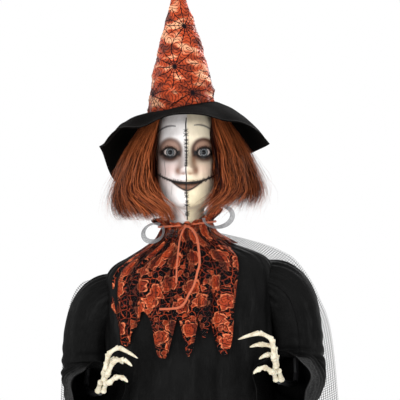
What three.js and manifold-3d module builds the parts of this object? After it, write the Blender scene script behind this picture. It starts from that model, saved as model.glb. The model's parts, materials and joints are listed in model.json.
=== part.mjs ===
// A life-size animated witch figure on a weighted stand.
// Millimetres, +Z up.  The figure faces -Y, so its own left hand is on +X.
// The origin is the centre of the base plate's underside.
import * as THREE from "three";
import { mergeVertices } from "three/addons/utils/BufferGeometryUtils.js";
import Module from "manifold-3d";

const wasm = await Module();
wasm.setup();

// Driving dimensions
const GAP = 0.3;
const BASE = { width: 460, depth: 400, thick: 5, corner: 24 };
const SOCKET = { height: 70, radius: 18, flange: 50, flangeThick: 5, boltCircle: 36 };
const POLE = { radius: 13, wall: 1.6, joint: 600, top: 1012 };
const CASE = { halfWidth: 58, front: -34, seam: -14, rear: 46, bottom: 975, top: 1105, wall: 2.5 };
const FRAME_BLOCK = { left: -26, right: 44, halfDepth: 20, bottom: 985, top: 1033 };
const SHAFT = { radius: 7, bore: 4, bottom: 1033.4, top: 1300 };
const GEAR = { module: 1.25, headTeeth: 36, motorTeeth: 12, bottom: 1080, height: 7 };
const MOTOR = { radius: 12, height: 42 };
const CELL = { radius: 7.2, length: 50, y: 36, bottom: 981, pitch: 16 };
const TRAY = { halfWidth: 27, y: 26, thick: 2, top: 1040 };
const DOOR = { halfWidth: 30, bottom: 979, top: 1041, thick: 2.4 };
const CONTROL_Z = 1084;
const SWITCH = { x: -25, halfWidth: 3, halfHeight: 3.5 };
const BUTTON = { x: 24, radius: 5 };
const POST = { radius: 4.5, pilot: 1.9, pilotDepth: 15 };
const BUSH = { radius: 12.4, lip: 17, depth: 8, lipThick: 3 };
const MOTOR_SEAT = { left: -16, right: 38, halfDepth: 12, depth: 5 };
const PIVOT_Y = 18;
const BAR_RADIUS = 6;
const BOLT_RADIUS = 4;
const EYE = { x: 33.5, z: 1331, radius: 13, back: -50, shoulder: -57 };
const HEAD_WALL = 3;
const HAT = {
  x: -12,
  y: 5,
  z: 1422,
  halfWidth: 69,
  halfDepth: 83,
  tip: [-20, 22, 1704],
  slope: 0.2,
  felt: 2,
};
const CLOTH = 2.5;
const CORD_RADIUS = 2.3;
const CORD_STEP = 10;

const ARMS = [
  {
    side: "left",
    out: 1,
    pivot: [190, PIVOT_Y, 1062],
    sleeve: [[222, 18, 1058, 54], [226, 14, 850, 52], [190, -140, 880, 50]],
    tube: [[204, 18, 1010], [218, 16, 940], [222, 12, 870], [208, -60, 868], [180, -160, 884]],
    palm: [170, -190, 912],
    fingers: [
      [[168, -196, 930], [165, -200, 968], [140, -206, 981], [100, -210, 969]],
      [[172, -188, 930], [170, -190, 952], [144, -194, 958], [122, -198, 953]],
      [[174, -180, 915], [174, -181, 936], [156, -184, 937], [140, -187, 929]],
      [[164, -204, 905], [150, -214, 915], [138, -220, 912], [128, -222, 904]],
    ],
  },
  {
    side: "right",
    out: -1,
    pivot: [-172, PIVOT_Y, 1035],
    sleeve: [[-205, 18, 1031, 45], [-208, 14, 840, 46], [-176, -140, 862, 46]],
    tube: [[-185, 18, 990], [-198, 16, 925], [-206, 12, 860], [-192, -60, 850], [-168, -160, 862]],
    palm: [-158, -190, 890],
    fingers: [
      [[-156, -196, 908], [-150, -200, 940], [-130, -206, 953], [-94, -210, 933]],
      [[-152, -200, 900], [-140, -208, 926], [-120, -214, 930], [-104, -216, 918]],
      [[-160, -182, 900], [-154, -184, 922], [-138, -186, 930], [-122, -188, 920]],
      [[-148, -206, 885], [-134, -216, 897], [-122, -220, 896], [-112, -222, 888]],
    ],
  },
];

// Rows of a body outline: height, half width, depth to the front, depth to the rear
const HEAD_ROWS = [
  [1186, 38, 40, 40],
  [1205, 35, 42, 42],
  [1218, 34, 52, 44],
  [1225, 41, 75, 46],
  [1240, 50, 82, 50],
  [1265, 57, 84, 57],
  [1291, 61, 85, 64],
  [1330, 64, 80, 72],
  [1360, 63, 83, 71],
  [1390, 60, 79, 63],
  [1415, 50, 64, 57],
  [1432, 36, 46, 40],
  [1442, 18, 22, 20],
];
const ROBE_ROWS = [
  [1158, 58, 50, 50],
  [1140, 84, 58, 60],
  [1118, 128, 70, 74],
  [1096, 150, 78, 82],
  [1050, 152, 84, 88],
  [900, 148, 92, 94],
  [745, 150, 108, 108],
  [600, 182, 132, 134],
  [400, 214, 164, 166],
  [200, 236, 190, 192],
  [32, 250, 204, 206],
];
const ROBE_SHIFT = 5;
const SHOULDER_TILT = 0.075;
// The lace hem: angle from the front in degrees (positive to the figure's left) and height
const LACE_HEM = [
  [-180, 1128],
  [-120, 1126],
  [-88, 1100],
  [-74, 1028],
  [-52, 956],
  [-33, 1022],
  [-18, 924],
  [-8, 1014],
  [-1, 922],
  [6, 1004],
  [10, 954],
  [14, 996],
  [28, 920],
  [40, 1008],
  [46, 1112],
  [120, 1126],
  [180, 1128],
];

const group = new THREE.Group();

// Closes a geometry: shared corners merged, flat triangles dropped, faces outward
function closed(geometry) {
  const bare = geometry.index ? geometry.toNonIndexed() : geometry.clone();
  bare.deleteAttribute("normal");
  bare.deleteAttribute("uv");
  const merged = mergeVertices(bare, 1e-3);
  const index = merged.index.array;
  const kept = [];
  for (let i = 0; i < index.length; i += 3) {
    const [a, b, c] = [index[i], index[i + 1], index[i + 2]];
    if (a !== b && b !== c && c !== a) kept.push(a, b, c);
  }
  merged.setIndex(kept);
  if (volume(merged) < 0) {
    for (let i = 0; i < kept.length; i += 3) {
      [kept[i + 1], kept[i + 2]] = [kept[i + 2], kept[i + 1]];
    }
    merged.setIndex(kept);
  }
  return merged;
}

function volume(geometry) {
  const position = geometry.attributes.position;
  const index = geometry.index.array;
  const corners = [new THREE.Vector3(), new THREE.Vector3(), new THREE.Vector3()];
  let total = 0;
  for (let i = 0; i < index.length; i += 3) {
    corners.forEach((corner, k) => corner.fromBufferAttribute(position, index[i + k]));
    total += corners[0].dot(corners[1].clone().cross(corners[2])) / 6;
  }
  return total;
}

function toManifold(geometry) {
  const solid = closed(geometry);
  return new wasm.Manifold(
    new wasm.Mesh({
      numProp: 3,
      vertProperties: new Float32Array(solid.attributes.position.array),
      triVerts: new Uint32Array(solid.index.array),
    }),
  );
}

function fromManifold(solid) {
  const mesh = solid.getMesh();
  const geometry = new THREE.BufferGeometry();
  geometry.setAttribute("position", new THREE.BufferAttribute(new Float32Array(mesh.vertProperties), 3));
  geometry.setIndex([...mesh.triVerts]);
  return geometry;
}

// Joins the first list of geometries and cuts the second list away
function joined(parts, cuts = []) {
  let solid = toManifold(parts[0]);
  for (const part of parts.slice(1)) solid = solid.add(toManifold(part));
  for (const cut of cuts) solid = solid.subtract(toManifold(cut));
  return fromManifold(solid);
}

function add(name, geometry, material) {
  const ready = closed(geometry);
  ready.computeVertexNormals();
  const mesh = new THREE.Mesh(ready, material);
  mesh.name = name;
  group.add(mesh);
  return mesh;
}

function finish(color, roughness, metalness = 0) {
  return new THREE.MeshStandardMaterial({ color, roughness, metalness });
}

const BLACK_STEEL = finish(0x1c1c1e, 0.5, 0.6);
const ZINC = finish(0xb9bcc0, 0.35, 1);
const CASE_PLASTIC = finish(0x202022, 0.6);
const GEAR_PLASTIC = finish(0xe6e0cf, 0.45);
const MASK_PLASTIC = finish(0xe9e2da, 0.45);
const BONE_PLASTIC = finish(0xe6dfc6, 0.5);
const BLACK_CLOTH = finish(0x101012, 0.9);
const BLACK_FELT = finish(0x0d0d0e, 0.95);
const ORANGE_LAME = finish(0xb5491c, 0.35, 0.4);
const LACE = finish(0x8f3a1c, 0.8);
const AUBURN = finish(0x7a2f12, 0.6);
const ORANGE_CORD = finish(0xc8502a, 0.7);
const GREY_GAUZE = finish(0x77777a, 0.7);

function block(x0, x1, y0, y1, z0, z1) {
  const geometry = new THREE.BoxGeometry(x1 - x0, y1 - y0, z1 - z0);
  return geometry.translate((x0 + x1) / 2, (y0 + y1) / 2, (z0 + z1) / 2);
}

// A cylinder from one point to another, straight or tapered
function rod(from, to, radius, sides = 24, endRadius = radius) {
  const start = new THREE.Vector3(...from);
  const along = new THREE.Vector3(...to).sub(start);
  const geometry = new THREE.CylinderGeometry(endRadius, radius, along.length(), sides);
  const turn = new THREE.Quaternion().setFromUnitVectors(
    new THREE.Vector3(0, 1, 0),
    along.clone().normalize(),
  );
  geometry.applyQuaternion(turn);
  const middle = start.addScaledVector(along, 0.5);
  return geometry.translate(middle.x, middle.y, middle.z);
}

// A profile of [radius, height] pairs turned about a vertical line
function turned(profile, x = 0, y = 0, sides = 20) {
  const points = profile.map(([radius, height]) => new THREE.Vector2(radius, height));
  const geometry = new THREE.LatheGeometry(points, sides);
  return geometry.rotateX(Math.PI / 2).translate(x, y, 0);
}

function pipe(inner, outer, bottom, top, x = 0, y = 0, sides = 20) {
  const profile = [[inner, bottom], [outer, bottom], [outer, top], [inner, top], [inner, bottom]];
  return turned(profile, x, y, sides);
}

function circle(radius, sides) {
  const shape = new THREE.Shape();
  for (let i = 0; i < sides; i += 1) {
    const angle = (2 * Math.PI * i) / sides;
    const [x, y] = [radius * Math.cos(angle), radius * Math.sin(angle)];
    if (i === 0) shape.moveTo(x, y);
    else shape.lineTo(x, y);
  }
  shape.closePath();
  return shape;
}

// A round bar along a smooth route
function tube(points, radius, sides = 8, step = CORD_STEP) {
  const route = new THREE.CatmullRomCurve3(points.map((point) => new THREE.Vector3(...point)));
  const steps = Math.max(2, Math.round(route.getLength() / step));
  const settings = { steps, extrudePath: route, bevelEnabled: false };
  return new THREE.ExtrudeGeometry(circle(radius, sides), settings);
}

function lerp(a, b, t) {
  return a + (b - a) * t;
}

// Reads a table of rows at a height; the rows may run either way
function rowAt(rows, height) {
  for (let i = 1; i < rows.length; i += 1) {
    const [low, high] = rows[0][0] < rows[1][0] ? [rows[i - 1], rows[i]] : [rows[i], rows[i - 1]];
    if (height >= low[0] && height <= high[0]) {
      const t = (height - low[0]) / (high[0] - low[0]);
      return low.map((value, k) => lerp(value, high[k], t));
    }
  }
  const ends = [rows[0], rows[rows.length - 1]].sort((a, b) => a[0] - b[0]);
  return height < ends[0][0] ? ends[0] : ends[1];
}

// A closed solid between two surfaces over the same grid.  A ring joins its last column to its first.
function sheetSolid(outer, inner, columns, rows, ring) {
  const corners = [];
  const columnCount = ring ? columns : columns + 1;
  const at = (side, i, j) => (side * columnCount + (i % columnCount)) * (rows + 1) + j;
  for (const surface of [outer, inner]) {
    for (let i = 0; i < columnCount; i += 1) {
      for (let j = 0; j <= rows; j += 1) corners.push(...surface(i / columns, j / rows));
    }
  }
  const faces = [];
  const quad = (a, b, c, d) => faces.push(a, b, c, a, c, d);
  for (let i = 0; i < columns; i += 1) {
    for (let j = 0; j < rows; j += 1) {
      quad(at(0, i, j), at(0, i + 1, j), at(0, i + 1, j + 1), at(0, i, j + 1));
      quad(at(1, i, j), at(1, i, j + 1), at(1, i + 1, j + 1), at(1, i + 1, j));
    }
    quad(at(0, i, 0), at(1, i, 0), at(1, i + 1, 0), at(0, i + 1, 0));
    quad(at(0, i, rows), at(0, i + 1, rows), at(1, i + 1, rows), at(1, i, rows));
  }
  if (!ring) {
    for (let j = 0; j < rows; j += 1) {
      quad(at(0, 0, j), at(0, 0, j + 1), at(1, 0, j + 1), at(1, 0, j));
      quad(at(0, columns, j), at(1, columns, j), at(1, columns, j + 1), at(0, columns, j + 1));
    }
  }
  const geometry = new THREE.BufferGeometry();
  geometry.setAttribute("position", new THREE.BufferAttribute(new Float32Array(corners), 3));
  geometry.setIndex(faces);
  return geometry;
}

// A machine screw: shank from start to end, with its head outside the start
function screw(start, end, radius, headRadius, headHeight) {
  const from = new THREE.Vector3(...start);
  const out = from.clone().sub(new THREE.Vector3(...end)).normalize();
  const top = from.clone().addScaledVector(out, headHeight);
  return joined([rod(start, end, radius, 8), rod(start, top.toArray(), headRadius, 10, headRadius * 0.8)]);
}

function gear(teeth, boreRadius, turn, x) {
  const pitchRadius = (GEAR.module * teeth) / 2;
  const root = pitchRadius - 1.25 * GEAR.module;
  const tip = pitchRadius + 0.8 * GEAR.module;
  const share = (2 * Math.PI) / teeth;
  // Half widths of a tooth at its root and its tip, as shares of the tooth spacing
  const corners = [[root, -0.26], [tip, -0.11], [tip, 0.11], [root, 0.26]];
  const shape = new THREE.Shape();
  for (let i = 0; i < teeth; i += 1) {
    for (const [radius, width] of corners) {
      const angle = turn + (i + width) * share;
      const point = [radius * Math.cos(angle), radius * Math.sin(angle)];
      if (i === 0 && width === corners[0][1]) shape.moveTo(...point);
      else shape.lineTo(...point);
    }
  }
  shape.closePath();
  if (boreRadius) shape.holes.push(circle(boreRadius, 16));
  const geometry = new THREE.ExtrudeGeometry(shape, { depth: GEAR.height, bevelEnabled: false });
  return geometry.translate(x, 0, GEAR.bottom);
}

function makeStand() {
  const plate = new THREE.Shape();
  const [w, d, r] = [BASE.width / 2, BASE.depth / 2, BASE.corner];
  plate.absarc(w - r, d - r, r, 0, Math.PI / 2);
  plate.absarc(-w + r, d - r, r, Math.PI / 2, Math.PI);
  plate.absarc(-w + r, -d + r, r, Math.PI, 1.5 * Math.PI);
  plate.absarc(w - r, -d + r, r, 1.5 * Math.PI, 2 * Math.PI);
  const settings = { depth: BASE.thick, bevelEnabled: false, curveSegments: 4 };
  const slab = new THREE.ExtrudeGeometry(plate, settings);
  const boltHoles = [];
  const flangeTop = BASE.thick + GAP + SOCKET.flangeThick;
  for (const index of [1, 2, 3]) {
    const angle = (2 * Math.PI * index) / 3 + Math.PI / 2;
    const [x, y] = [SOCKET.boltCircle * Math.cos(angle), SOCKET.boltCircle * Math.sin(angle)];
    boltHoles.push(rod([x, y, 1.5], [x, y, 20], 3.4, 16));
    add(`socket_bolt_${index}`, screw([x, y, flangeTop + GAP], [x, y, 2], 3, 6, 4), ZINC);
  }
  add("base_plate", joined([slab], boltHoles), BLACK_STEEL);
  const socket = turned([
    [POLE.radius + GAP, BASE.thick + GAP],
    [SOCKET.flange, BASE.thick + GAP],
    [SOCKET.flange, flangeTop],
    [SOCKET.radius, flangeTop],
    [SOCKET.radius, SOCKET.height],
    [POLE.radius + GAP, SOCKET.height],
    [POLE.radius + GAP, BASE.thick + GAP],
  ]);
  const screwHeight = SOCKET.height - 20;
  const tapped = rod([0, POLE.radius - 1, screwHeight], [0, SOCKET.radius + 1, screwHeight], 3.3, 16);
  add("base_socket", joined([socket], [...boltHoles, tapped]), BLACK_STEEL);
  const knob = rod([0, SOCKET.radius + 4, screwHeight], [0, SOCKET.radius + 16, screwHeight], 10, 16);
  const shank = rod([0, POLE.radius + GAP, screwHeight], [0, SOCKET.radius + 5, screwHeight], 3, 12);
  add("socket_thumb_screw", joined([knob, shank]), CASE_PLASTIC);
}

function makePoles() {
  const inner = POLE.radius - POLE.wall;
  add("lower_pole", pipe(inner, POLE.radius, BASE.thick + GAP, POLE.joint - GAP), BLACK_STEEL);
  add("upper_pole", pipe(inner, POLE.radius, POLE.joint + GAP, POLE.top), BLACK_STEEL);
  const sleeveOuter = POLE.radius + 2.2;
  add("pole_coupler", pipe(POLE.radius + GAP, sleeveOuter, POLE.joint - 40, POLE.joint + 40), BLACK_STEEL);
}

// The two corners of the case where screws pass, low and high on each side
const CASE_CORNERS = [-1, 1].flatMap((side) => [
  [side * (CASE.halfWidth - 8), CASE.bottom + 9],
  [side * (CASE.halfWidth - 8), CASE.top - 9],
]);

function barHeight(x) {
  const [left, right] = [ARMS[0].pivot, ARMS[1].pivot];
  return lerp(right[2], left[2], (x - right[0]) / (left[0] - right[0]));
}

function makeCase() {
  const { halfWidth: w, wall, seam, rear, front, bottom, top } = CASE;
  const rearCuts = [
    block(-w + wall, w - wall, seam - 1, rear - wall, bottom + wall, top - wall),
    rod([0, 0, bottom - 1], [0, 0, bottom + wall + 1], POLE.radius + GAP),
    rod([0, 0, top - wall - 1], [0, 0, top + 1], BUSH.radius + 0.4),
    rod([-w - 1, PIVOT_Y, barHeight(-w)], [-w + wall + 1, PIVOT_Y, barHeight(-w)], BAR_RADIUS + 1),
    rod([w - wall - 1, PIVOT_Y, barHeight(w)], [w + 1, PIVOT_Y, barHeight(w)], BAR_RADIUS + 1),
    block(5 - DOOR.halfWidth, DOOR.halfWidth - 5, rear - wall - 1, rear + 1, DOOR.bottom + 4, DOOR.top - 5),
    block(SWITCH.x - 6, SWITCH.x + 10, rear - wall - 1, rear + 1, CONTROL_Z - 4, CONTROL_Z + 4),
    rod([BUTTON.x, rear - wall - 1, CONTROL_Z], [BUTTON.x, rear + 1, CONTROL_Z], BUTTON.radius + 0.6),
  ];
  const rearShell = joined([block(-w, w, seam, rear, bottom, top)], rearCuts);
  const posts = CASE_CORNERS.map(([x, z]) => rod([x, seam, z], [x, rear - 1, z], POST.radius, 12));
  const pilots = CASE_CORNERS.map(([x, z]) =>
    rod([x, seam - 1, z], [x, seam + POST.pilotDepth, z], POST.pilot, 12),
  );
  const tray = block(-TRAY.halfWidth, TRAY.halfWidth, TRAY.y, TRAY.y + TRAY.thick, bottom + 1, TRAY.top);
  add("case_rear", joined([rearShell, ...posts, tray], pilots), CASE_PLASTIC);
  const holes = CASE_CORNERS.map(([x, z]) => rod([x, front - 1, z], [x, seam, z], 2, 12));
  const hollow = block(-w + wall, w - wall, front + wall, seam, bottom + wall, top - wall);
  const shell = joined([block(-w, w, front, seam - GAP, bottom, top)], [hollow]);
  const bosses = CASE_CORNERS.map(([x, z]) =>
    rod([x, front + 1, z], [x, seam - GAP, z], POST.radius, 12),
  );
  add("case_front", joined([shell, ...bosses], holes), CASE_PLASTIC);
  CASE_CORNERS.forEach(([x, z], index) => {
    add(`case_screw_${index + 1}`, screw([x, front - GAP, z], [x, seam + 13, z], 1.6, 3.4, 2), ZINC);
  });
}

function makeMechanism() {
  const { left, right, halfDepth, bottom, top } = FRAME_BLOCK;
  const frame = joined(
    [block(left, right, -halfDepth, halfDepth, bottom, top)],
    [
      rod([0, 0, bottom - 1], [0, 0, POLE.top + GAP], POLE.radius + GAP),
      block(
        MOTOR_SEAT.left,
        MOTOR_SEAT.right,
        -MOTOR_SEAT.halfDepth,
        MOTOR_SEAT.halfDepth,
        top - MOTOR_SEAT.depth,
        top + 1,
      ),
      rod([0, 0, bottom], [0, 0, top], SHAFT.bore + 1, 16),
    ],
  );
  add("mechanism_frame", frame, CASE_PLASTIC);
  const axle = (GEAR.module * (GEAR.headTeeth + GEAR.motorTeeth)) / 2;
  const motorTop = GEAR.bottom - 4;
  const can = rod([axle, 0, motorTop - MOTOR.height + GAP], [axle, 0, motorTop], MOTOR.radius, 24);
  const footBottom = top - MOTOR_SEAT.depth + GAP;
  const foot = block(axle - 10, axle + 7, -8, 8, footBottom, motorTop - MOTOR.height + 4);
  add("gear_motor", joined([can, foot]), ZINC);
  const hub = rod([axle, 0, motorTop + GAP], [axle, 0, GEAR.bottom + 1], 5, 16);
  add("motor_gear", joined([gear(GEAR.motorTeeth, 0, 0, axle), hub]), GEAR_PLASTIC);
  const shaftRing = SHAFT.radius + GAP;
  const headWheel = gear(GEAR.headTeeth, shaftRing, Math.PI / GEAR.headTeeth, 0);
  const collar = pipe(shaftRing, 11, GEAR.bottom - 6, GEAR.bottom + 1, 0, 0, 16);
  add("head_gear", joined([headWheel, collar]), GEAR_PLASTIC);
  add("neck_shaft", pipe(SHAFT.bore, SHAFT.radius, SHAFT.bottom, SHAFT.top, 0, 0, 24), ZINC);
  const bush = turned([
    [shaftRing, CASE.top - BUSH.depth],
    [BUSH.radius, CASE.top - BUSH.depth],
    [BUSH.radius, CASE.top + GAP],
    [BUSH.lip, CASE.top + GAP],
    [BUSH.lip, CASE.top + BUSH.lipThick],
    [shaftRing, CASE.top + BUSH.lipThick],
    [shaftRing, CASE.top - BUSH.depth],
  ]);
  add("neck_bearing", bush, GEAR_PLASTIC);
}

function makeElectronics() {
  const { wall, rear, front } = CASE;
  const board = block(-45, 45, 36, 37.6, 1062, 1100);
  const chips = [block(-8, 8, 33, 36.5, 1088, 1098), block(-36, -24, 34, 36.5, 1066, 1076)];
  add("circuit_board", joined([board, ...chips]), finish(0x1d5a35, 0.5));
  const speaker = turned([[0, 0], [16, 0], [25, 5.5], [25, 7], [0, 7]], 0, 0, 24);
  speaker.rotateX(Math.PI / 2).translate(0, front + wall + 7 + GAP, 1048);
  add("speaker", speaker, finish(0x333336, 0.7));
  for (const index of [0, 1, 2]) {
    const x = (index - 1) * CELL.pitch;
    const can = rod([x, CELL.y, CELL.bottom], [x, CELL.y, CELL.bottom + CELL.length - 2], CELL.radius, 16);
    const top = CELL.bottom + CELL.length;
    const tip = rod([x, CELL.y, top - 3], [x, CELL.y, top], 2.7, 12);
    add(`battery_${index + 1}`, joined([can, tip]), finish(0x8f8a80, 0.4, 0.5));
  }
  const doorFace = rear + GAP;
  const ribs = [21, 17, 13].map((down) => {
    const z = DOOR.top - down;
    return block(-12, 12, doorFace + 2, doorFace + DOOR.thick + 1, z, z + 2);
  });
  const door = block(-DOOR.halfWidth, DOOR.halfWidth, doorFace, doorFace + DOOR.thick, DOOR.bottom, DOOR.top);
  add("battery_door", joined([door, ...ribs]), CASE_PLASTIC);
  const { x: slideX, halfWidth: slideHalf, halfHeight: slideRise } = SWITCH;
  const inside = rear - wall;
  const thumb = [slideX - slideHalf, slideX + slideHalf];
  const slider = joined([
    block(...thumb, inside - 1, rear + 3, CONTROL_Z - slideRise, CONTROL_Z + slideRise),
    block(slideX - 9, slideX + 9, inside - 3, inside - GAP, CONTROL_Z - 7, CONTROL_Z + 7),
  ]);
  add("power_switch", slider, CASE_PLASTIC);
  const cap = rod([BUTTON.x, inside - 1, CONTROL_Z], [BUTTON.x, rear + 3.5, CONTROL_Z], BUTTON.radius, 20);
  const lip = rod([BUTTON.x, inside - 2, CONTROL_Z], [BUTTON.x, inside - GAP, CONTROL_Z], 7, 20);
  add("test_button", joined([cap, lip]), finish(0xb22018, 0.4));
}

function makeArm(arm) {
  const [x, y, z] = arm.pivot;
  const boss = rod([x + arm.out * 4, y, z], [x + arm.out * 16, y, z], 13, 24);
  const bore = rod([x + arm.out * 3, y, z], [x + arm.out * 17, y, z], BOLT_RADIUS + GAP, 16);
  const pipeStart = [x + arm.out * 10, y, z - 10];
  const bent = tube([pipeStart, ...arm.tube], 6, 8, 24);
  add(`arm_tube_${arm.side}`, joined([bent, boss], [bore]), BLACK_STEEL);
  const bolt = screw([x + arm.out * 16.4, y, z], [x - arm.out * 8, y, z], BOLT_RADIUS, 8, 4);
  add(`pivot_bolt_${arm.side}`, bolt, ZINC);

  const [shoulder, elbow, cuff] = arm.sleeve;
  const ball = (centre, radius) => new THREE.SphereGeometry(radius, 12, 8).translate(...centre);
  const chain = (shrink) => {
    const radii = arm.sleeve.map((joint) => joint[3] - shrink);
    return joined([
      ball(shoulder.slice(0, 3), radii[0]),
      rod(shoulder.slice(0, 3), elbow.slice(0, 3), radii[0], 12, radii[1]),
      ball(elbow.slice(0, 3), radii[1]),
      rod(elbow.slice(0, 3), cuff.slice(0, 3), radii[1], 12, radii[2]),
    ]);
  };
  const armhole = rod([x - arm.out * 60, y, z - 4], [x + arm.out * 6, y, z - 4], 30, 12);
  const mouthStart = new THREE.Vector3(...elbow).lerp(new THREE.Vector3(...cuff), 0.9).toArray();
  const mouthEnd = new THREE.Vector3(...elbow).lerp(new THREE.Vector3(...cuff), 1.1).toArray();
  const mouth = rod(mouthStart, mouthEnd, elbow[3] - 8, 12);
  add(`sleeve_${arm.side}`, joined([chain(0)], [chain(CLOTH), armhole, mouth]), BLACK_CLOTH);

  const palm = new THREE.SphereGeometry(1, 10, 8).scale(14, 15, 24).translate(...arm.palm);
  const wrist = new THREE.Vector3(...arm.tube[arm.tube.length - 1]);
  const toPalm = new THREE.Vector3(...arm.palm).sub(wrist).normalize();
  const wristStart = wrist.addScaledVector(toPalm, 3).toArray();
  const forearm = rod(wristStart, arm.palm, 9, 10);
  const fingers = arm.fingers.map((route) => tube([arm.palm, ...route], 4.4, 6, 16));
  const socket = tube(arm.tube.slice(-2), 6 + GAP, 8, 24);
  add(`hand_${arm.side}`, joined([palm, forearm, ...fingers], [socket]), BONE_PLASTIC);
}

function makeShoulderBar() {
  const [left, right] = ARMS.map((arm) => arm.pivot);
  const boreRadius = BOLT_RADIUS + GAP;
  const bores = ARMS.map(({ out, pivot: [x, y, z] }) =>
    rod([x - out * 12, y, z], [x + out * 6, y, z], boreRadius, 16),
  );
  add("shoulder_bar", joined([rod(right, left, BAR_RADIUS, 16)], bores), BLACK_STEEL);
}

// A point on the head: turn runs from one side seam over the face or the rear to the other
function headPoint(turn, height, inset, rear) {
  const [, width, front, back] = rowAt(HEAD_ROWS, height);
  const angle = (turn - 0.5) * Math.PI;
  const depth = (rear ? back : front) - inset;
  const y = depth * Math.cos(angle) + 0.2;
  return [(width - inset) * Math.sin(angle), rear ? y : -y, height];
}

function makeHead() {
  const heights = HEAD_ROWS.map((row) => row[0]);
  const rows = heights.length - 1;
  const half = (columns, rear) =>
    sheetSolid(
      (u, v) => headPoint(u, heights[Math.round(v * rows)], 0, rear),
      (u, v) => headPoint(u, heights[Math.round(v * rows)], HEAD_WALL, rear),
      columns,
      rows,
      false,
    );
  const eyeHoles = [-1, 1].map((side) => {
    const x = side * EYE.x;
    return rod([x, -100, EYE.z], [x, -40, EYE.z], EYE.radius + 0.4, 20);
  });
  add("face_mask", joined([half(16, false)], eyeHoles), MASK_PLASTIC);
  const screwZ = SHAFT.top - 12;
  const screwHoles = [-30, 30].map((x) => rod([x, 40, screwZ], [x, 100, screwZ], 2, 12));
  add("rear_head_shell", joined([half(12, true)], screwHoles), CASE_PLASTIC);
  const plate = pipe(SHAFT.radius + GAP, 50, screwZ - 4, screwZ + 4);
  plate.scale(1, 1.1, 1);
  const pilot = [-30, 30].map((x) => rod([x, 20, screwZ], [x, 60, screwZ], 1.8, 12));
  add("head_plate", joined([plate], pilot), CASE_PLASTIC);
  [-30, 30].forEach((x, index) => {
    add(`head_screw_${index + 1}`, screw([x, 68, screwZ], [x, 30, screwZ], 1.5, 3.4, 2), ZINC);
  });
  for (const { side, out } of ARMS) {
    const x = out * EYE.x;
    const dome = new THREE.SphereGeometry(EYE.radius, 20, 12).translate(x, EYE.shoulder, EYE.z);
    const capsule = rod([x, EYE.back, EYE.z], [x, EYE.shoulder, EYE.z], EYE.radius, 20);
    const behind = block(x - 20, x + 20, EYE.back, 0, EYE.z - 20, EYE.z + 20);
    add(`eye_${side}`, joined([dome, capsule], [behind]), finish(0xdfe3e6, 0.15));
    const led = rod([x, EYE.back + GAP, EYE.z], [x, EYE.back + 8, EYE.z], 2.5, 12);
    add(`eye_led_${side}`, led, finish(0xcfe3f5, 0.2));
  }
  const leads = ARMS.map(({ out }) => {
    const fromLight = [out * EYE.x, EYE.back + 9, EYE.z];
    return tube([fromLight, [out * 28, -30, 1330], [out * 10, -6, 1322], [0, 0, 1312]], 1.2, 6, 9);
  });
  const down = tube([[0, 0, 1313], [0, 0, 1250], [0, 0, 1040]], 1.6, 6, 40);
  add("eye_led_lead", joined([...leads, down]), finish(0x26262a, 0.6));
}

// Hair hangs in a band around the head, open at the face
const HAIR_SIDE = [[1207, 146], [1240, 152], [1280, 142], [1330, 124], [1370, 102], [1396, 82]];
const HAIR_ENDS = [[1207, 94], [1240, 98], [1280, 98], [1330, 93], [1370, 86], [1396, 80]];
const HAIR = { faceAngle: 0.28 * Math.PI, top: 1396, rightHem: 1208, leftHem: 1230, thick: 22, topThick: 7 };

function hairPoint(u, v, side) {
  const angle = lerp(HAIR.faceAngle, 2 * Math.PI - HAIR.faceAngle, u);
  const hem = lerp(HAIR.leftHem, HAIR.rightHem, u);
  const height = lerp(HAIR.top, hem, v);
  const share = Math.sin(angle) ** 2;
  const outer = lerp(rowAt(HAIR_ENDS, height)[1], rowAt(HAIR_SIDE, height)[1], share);
  const thick = lerp(HAIR.topThick, HAIR.thick, Math.min(1, 2 * v)) * lerp(0.55, 1, share);
  const radius = outer - side * thick;
  return [radius * Math.sin(angle), -radius * Math.cos(angle), height];
}

// The crown is a leaning cone over an oval in a plane that rises to the figure's left
function crownPoint(u, v, inset) {
  const angle = 2 * Math.PI * u;
  const [wide, deep] = [HAT.halfWidth - inset, HAT.halfDepth - inset];
  const base = [HAT.x + wide * Math.sin(angle), HAT.y - deep * Math.cos(angle)];
  const height = HAT.z + HAT.slope * (base[0] - HAT.x);
  const tip = [HAT.tip[0], HAT.tip[1], HAT.tip[2] - 3 * inset];
  const belly = 4 * Math.sin(Math.PI * Math.min(1, 1.6 * v));
  const out = [belly * Math.sin(angle), -belly * Math.cos(angle)];
  return [lerp(base[0], tip[0], v) + out[0], lerp(base[1], tip[1], v) + out[1], lerp(height, tip[2], v)];
}

// Reach and drop of the brim at the front, the figure's left, the rear and its right
const BRIM = { start: 4, front: [142, 34], left: [106, 88], rear: [72, 146], right: [82, 96] };

function brimPoint(u, v) {
  const angle = 2 * Math.PI * u;
  const [ahead, beside] = [Math.cos(angle), Math.sin(angle)];
  const alongY = ahead > 0 ? BRIM.front : BRIM.rear;
  const alongX = beside > 0 ? BRIM.left : BRIM.right;
  const reach = alongY[0] * ahead ** 2 + alongX[0] * beside ** 2;
  const drop = alongY[1] * ahead ** 2 + alongX[1] * beside ** 2;
  const bend = (v * Math.PI) / 2;
  const out = BRIM.start + reach * Math.sin(bend);
  const x = HAT.x + (HAT.halfWidth + out) * beside;
  const y = HAT.y - (HAT.halfDepth + out) * ahead;
  const inner = HAT.z + HAT.slope * (HAT.halfWidth + BRIM.start) * beside;
  return [x, y, inner - drop * (1 - Math.cos(bend))];
}

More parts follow.
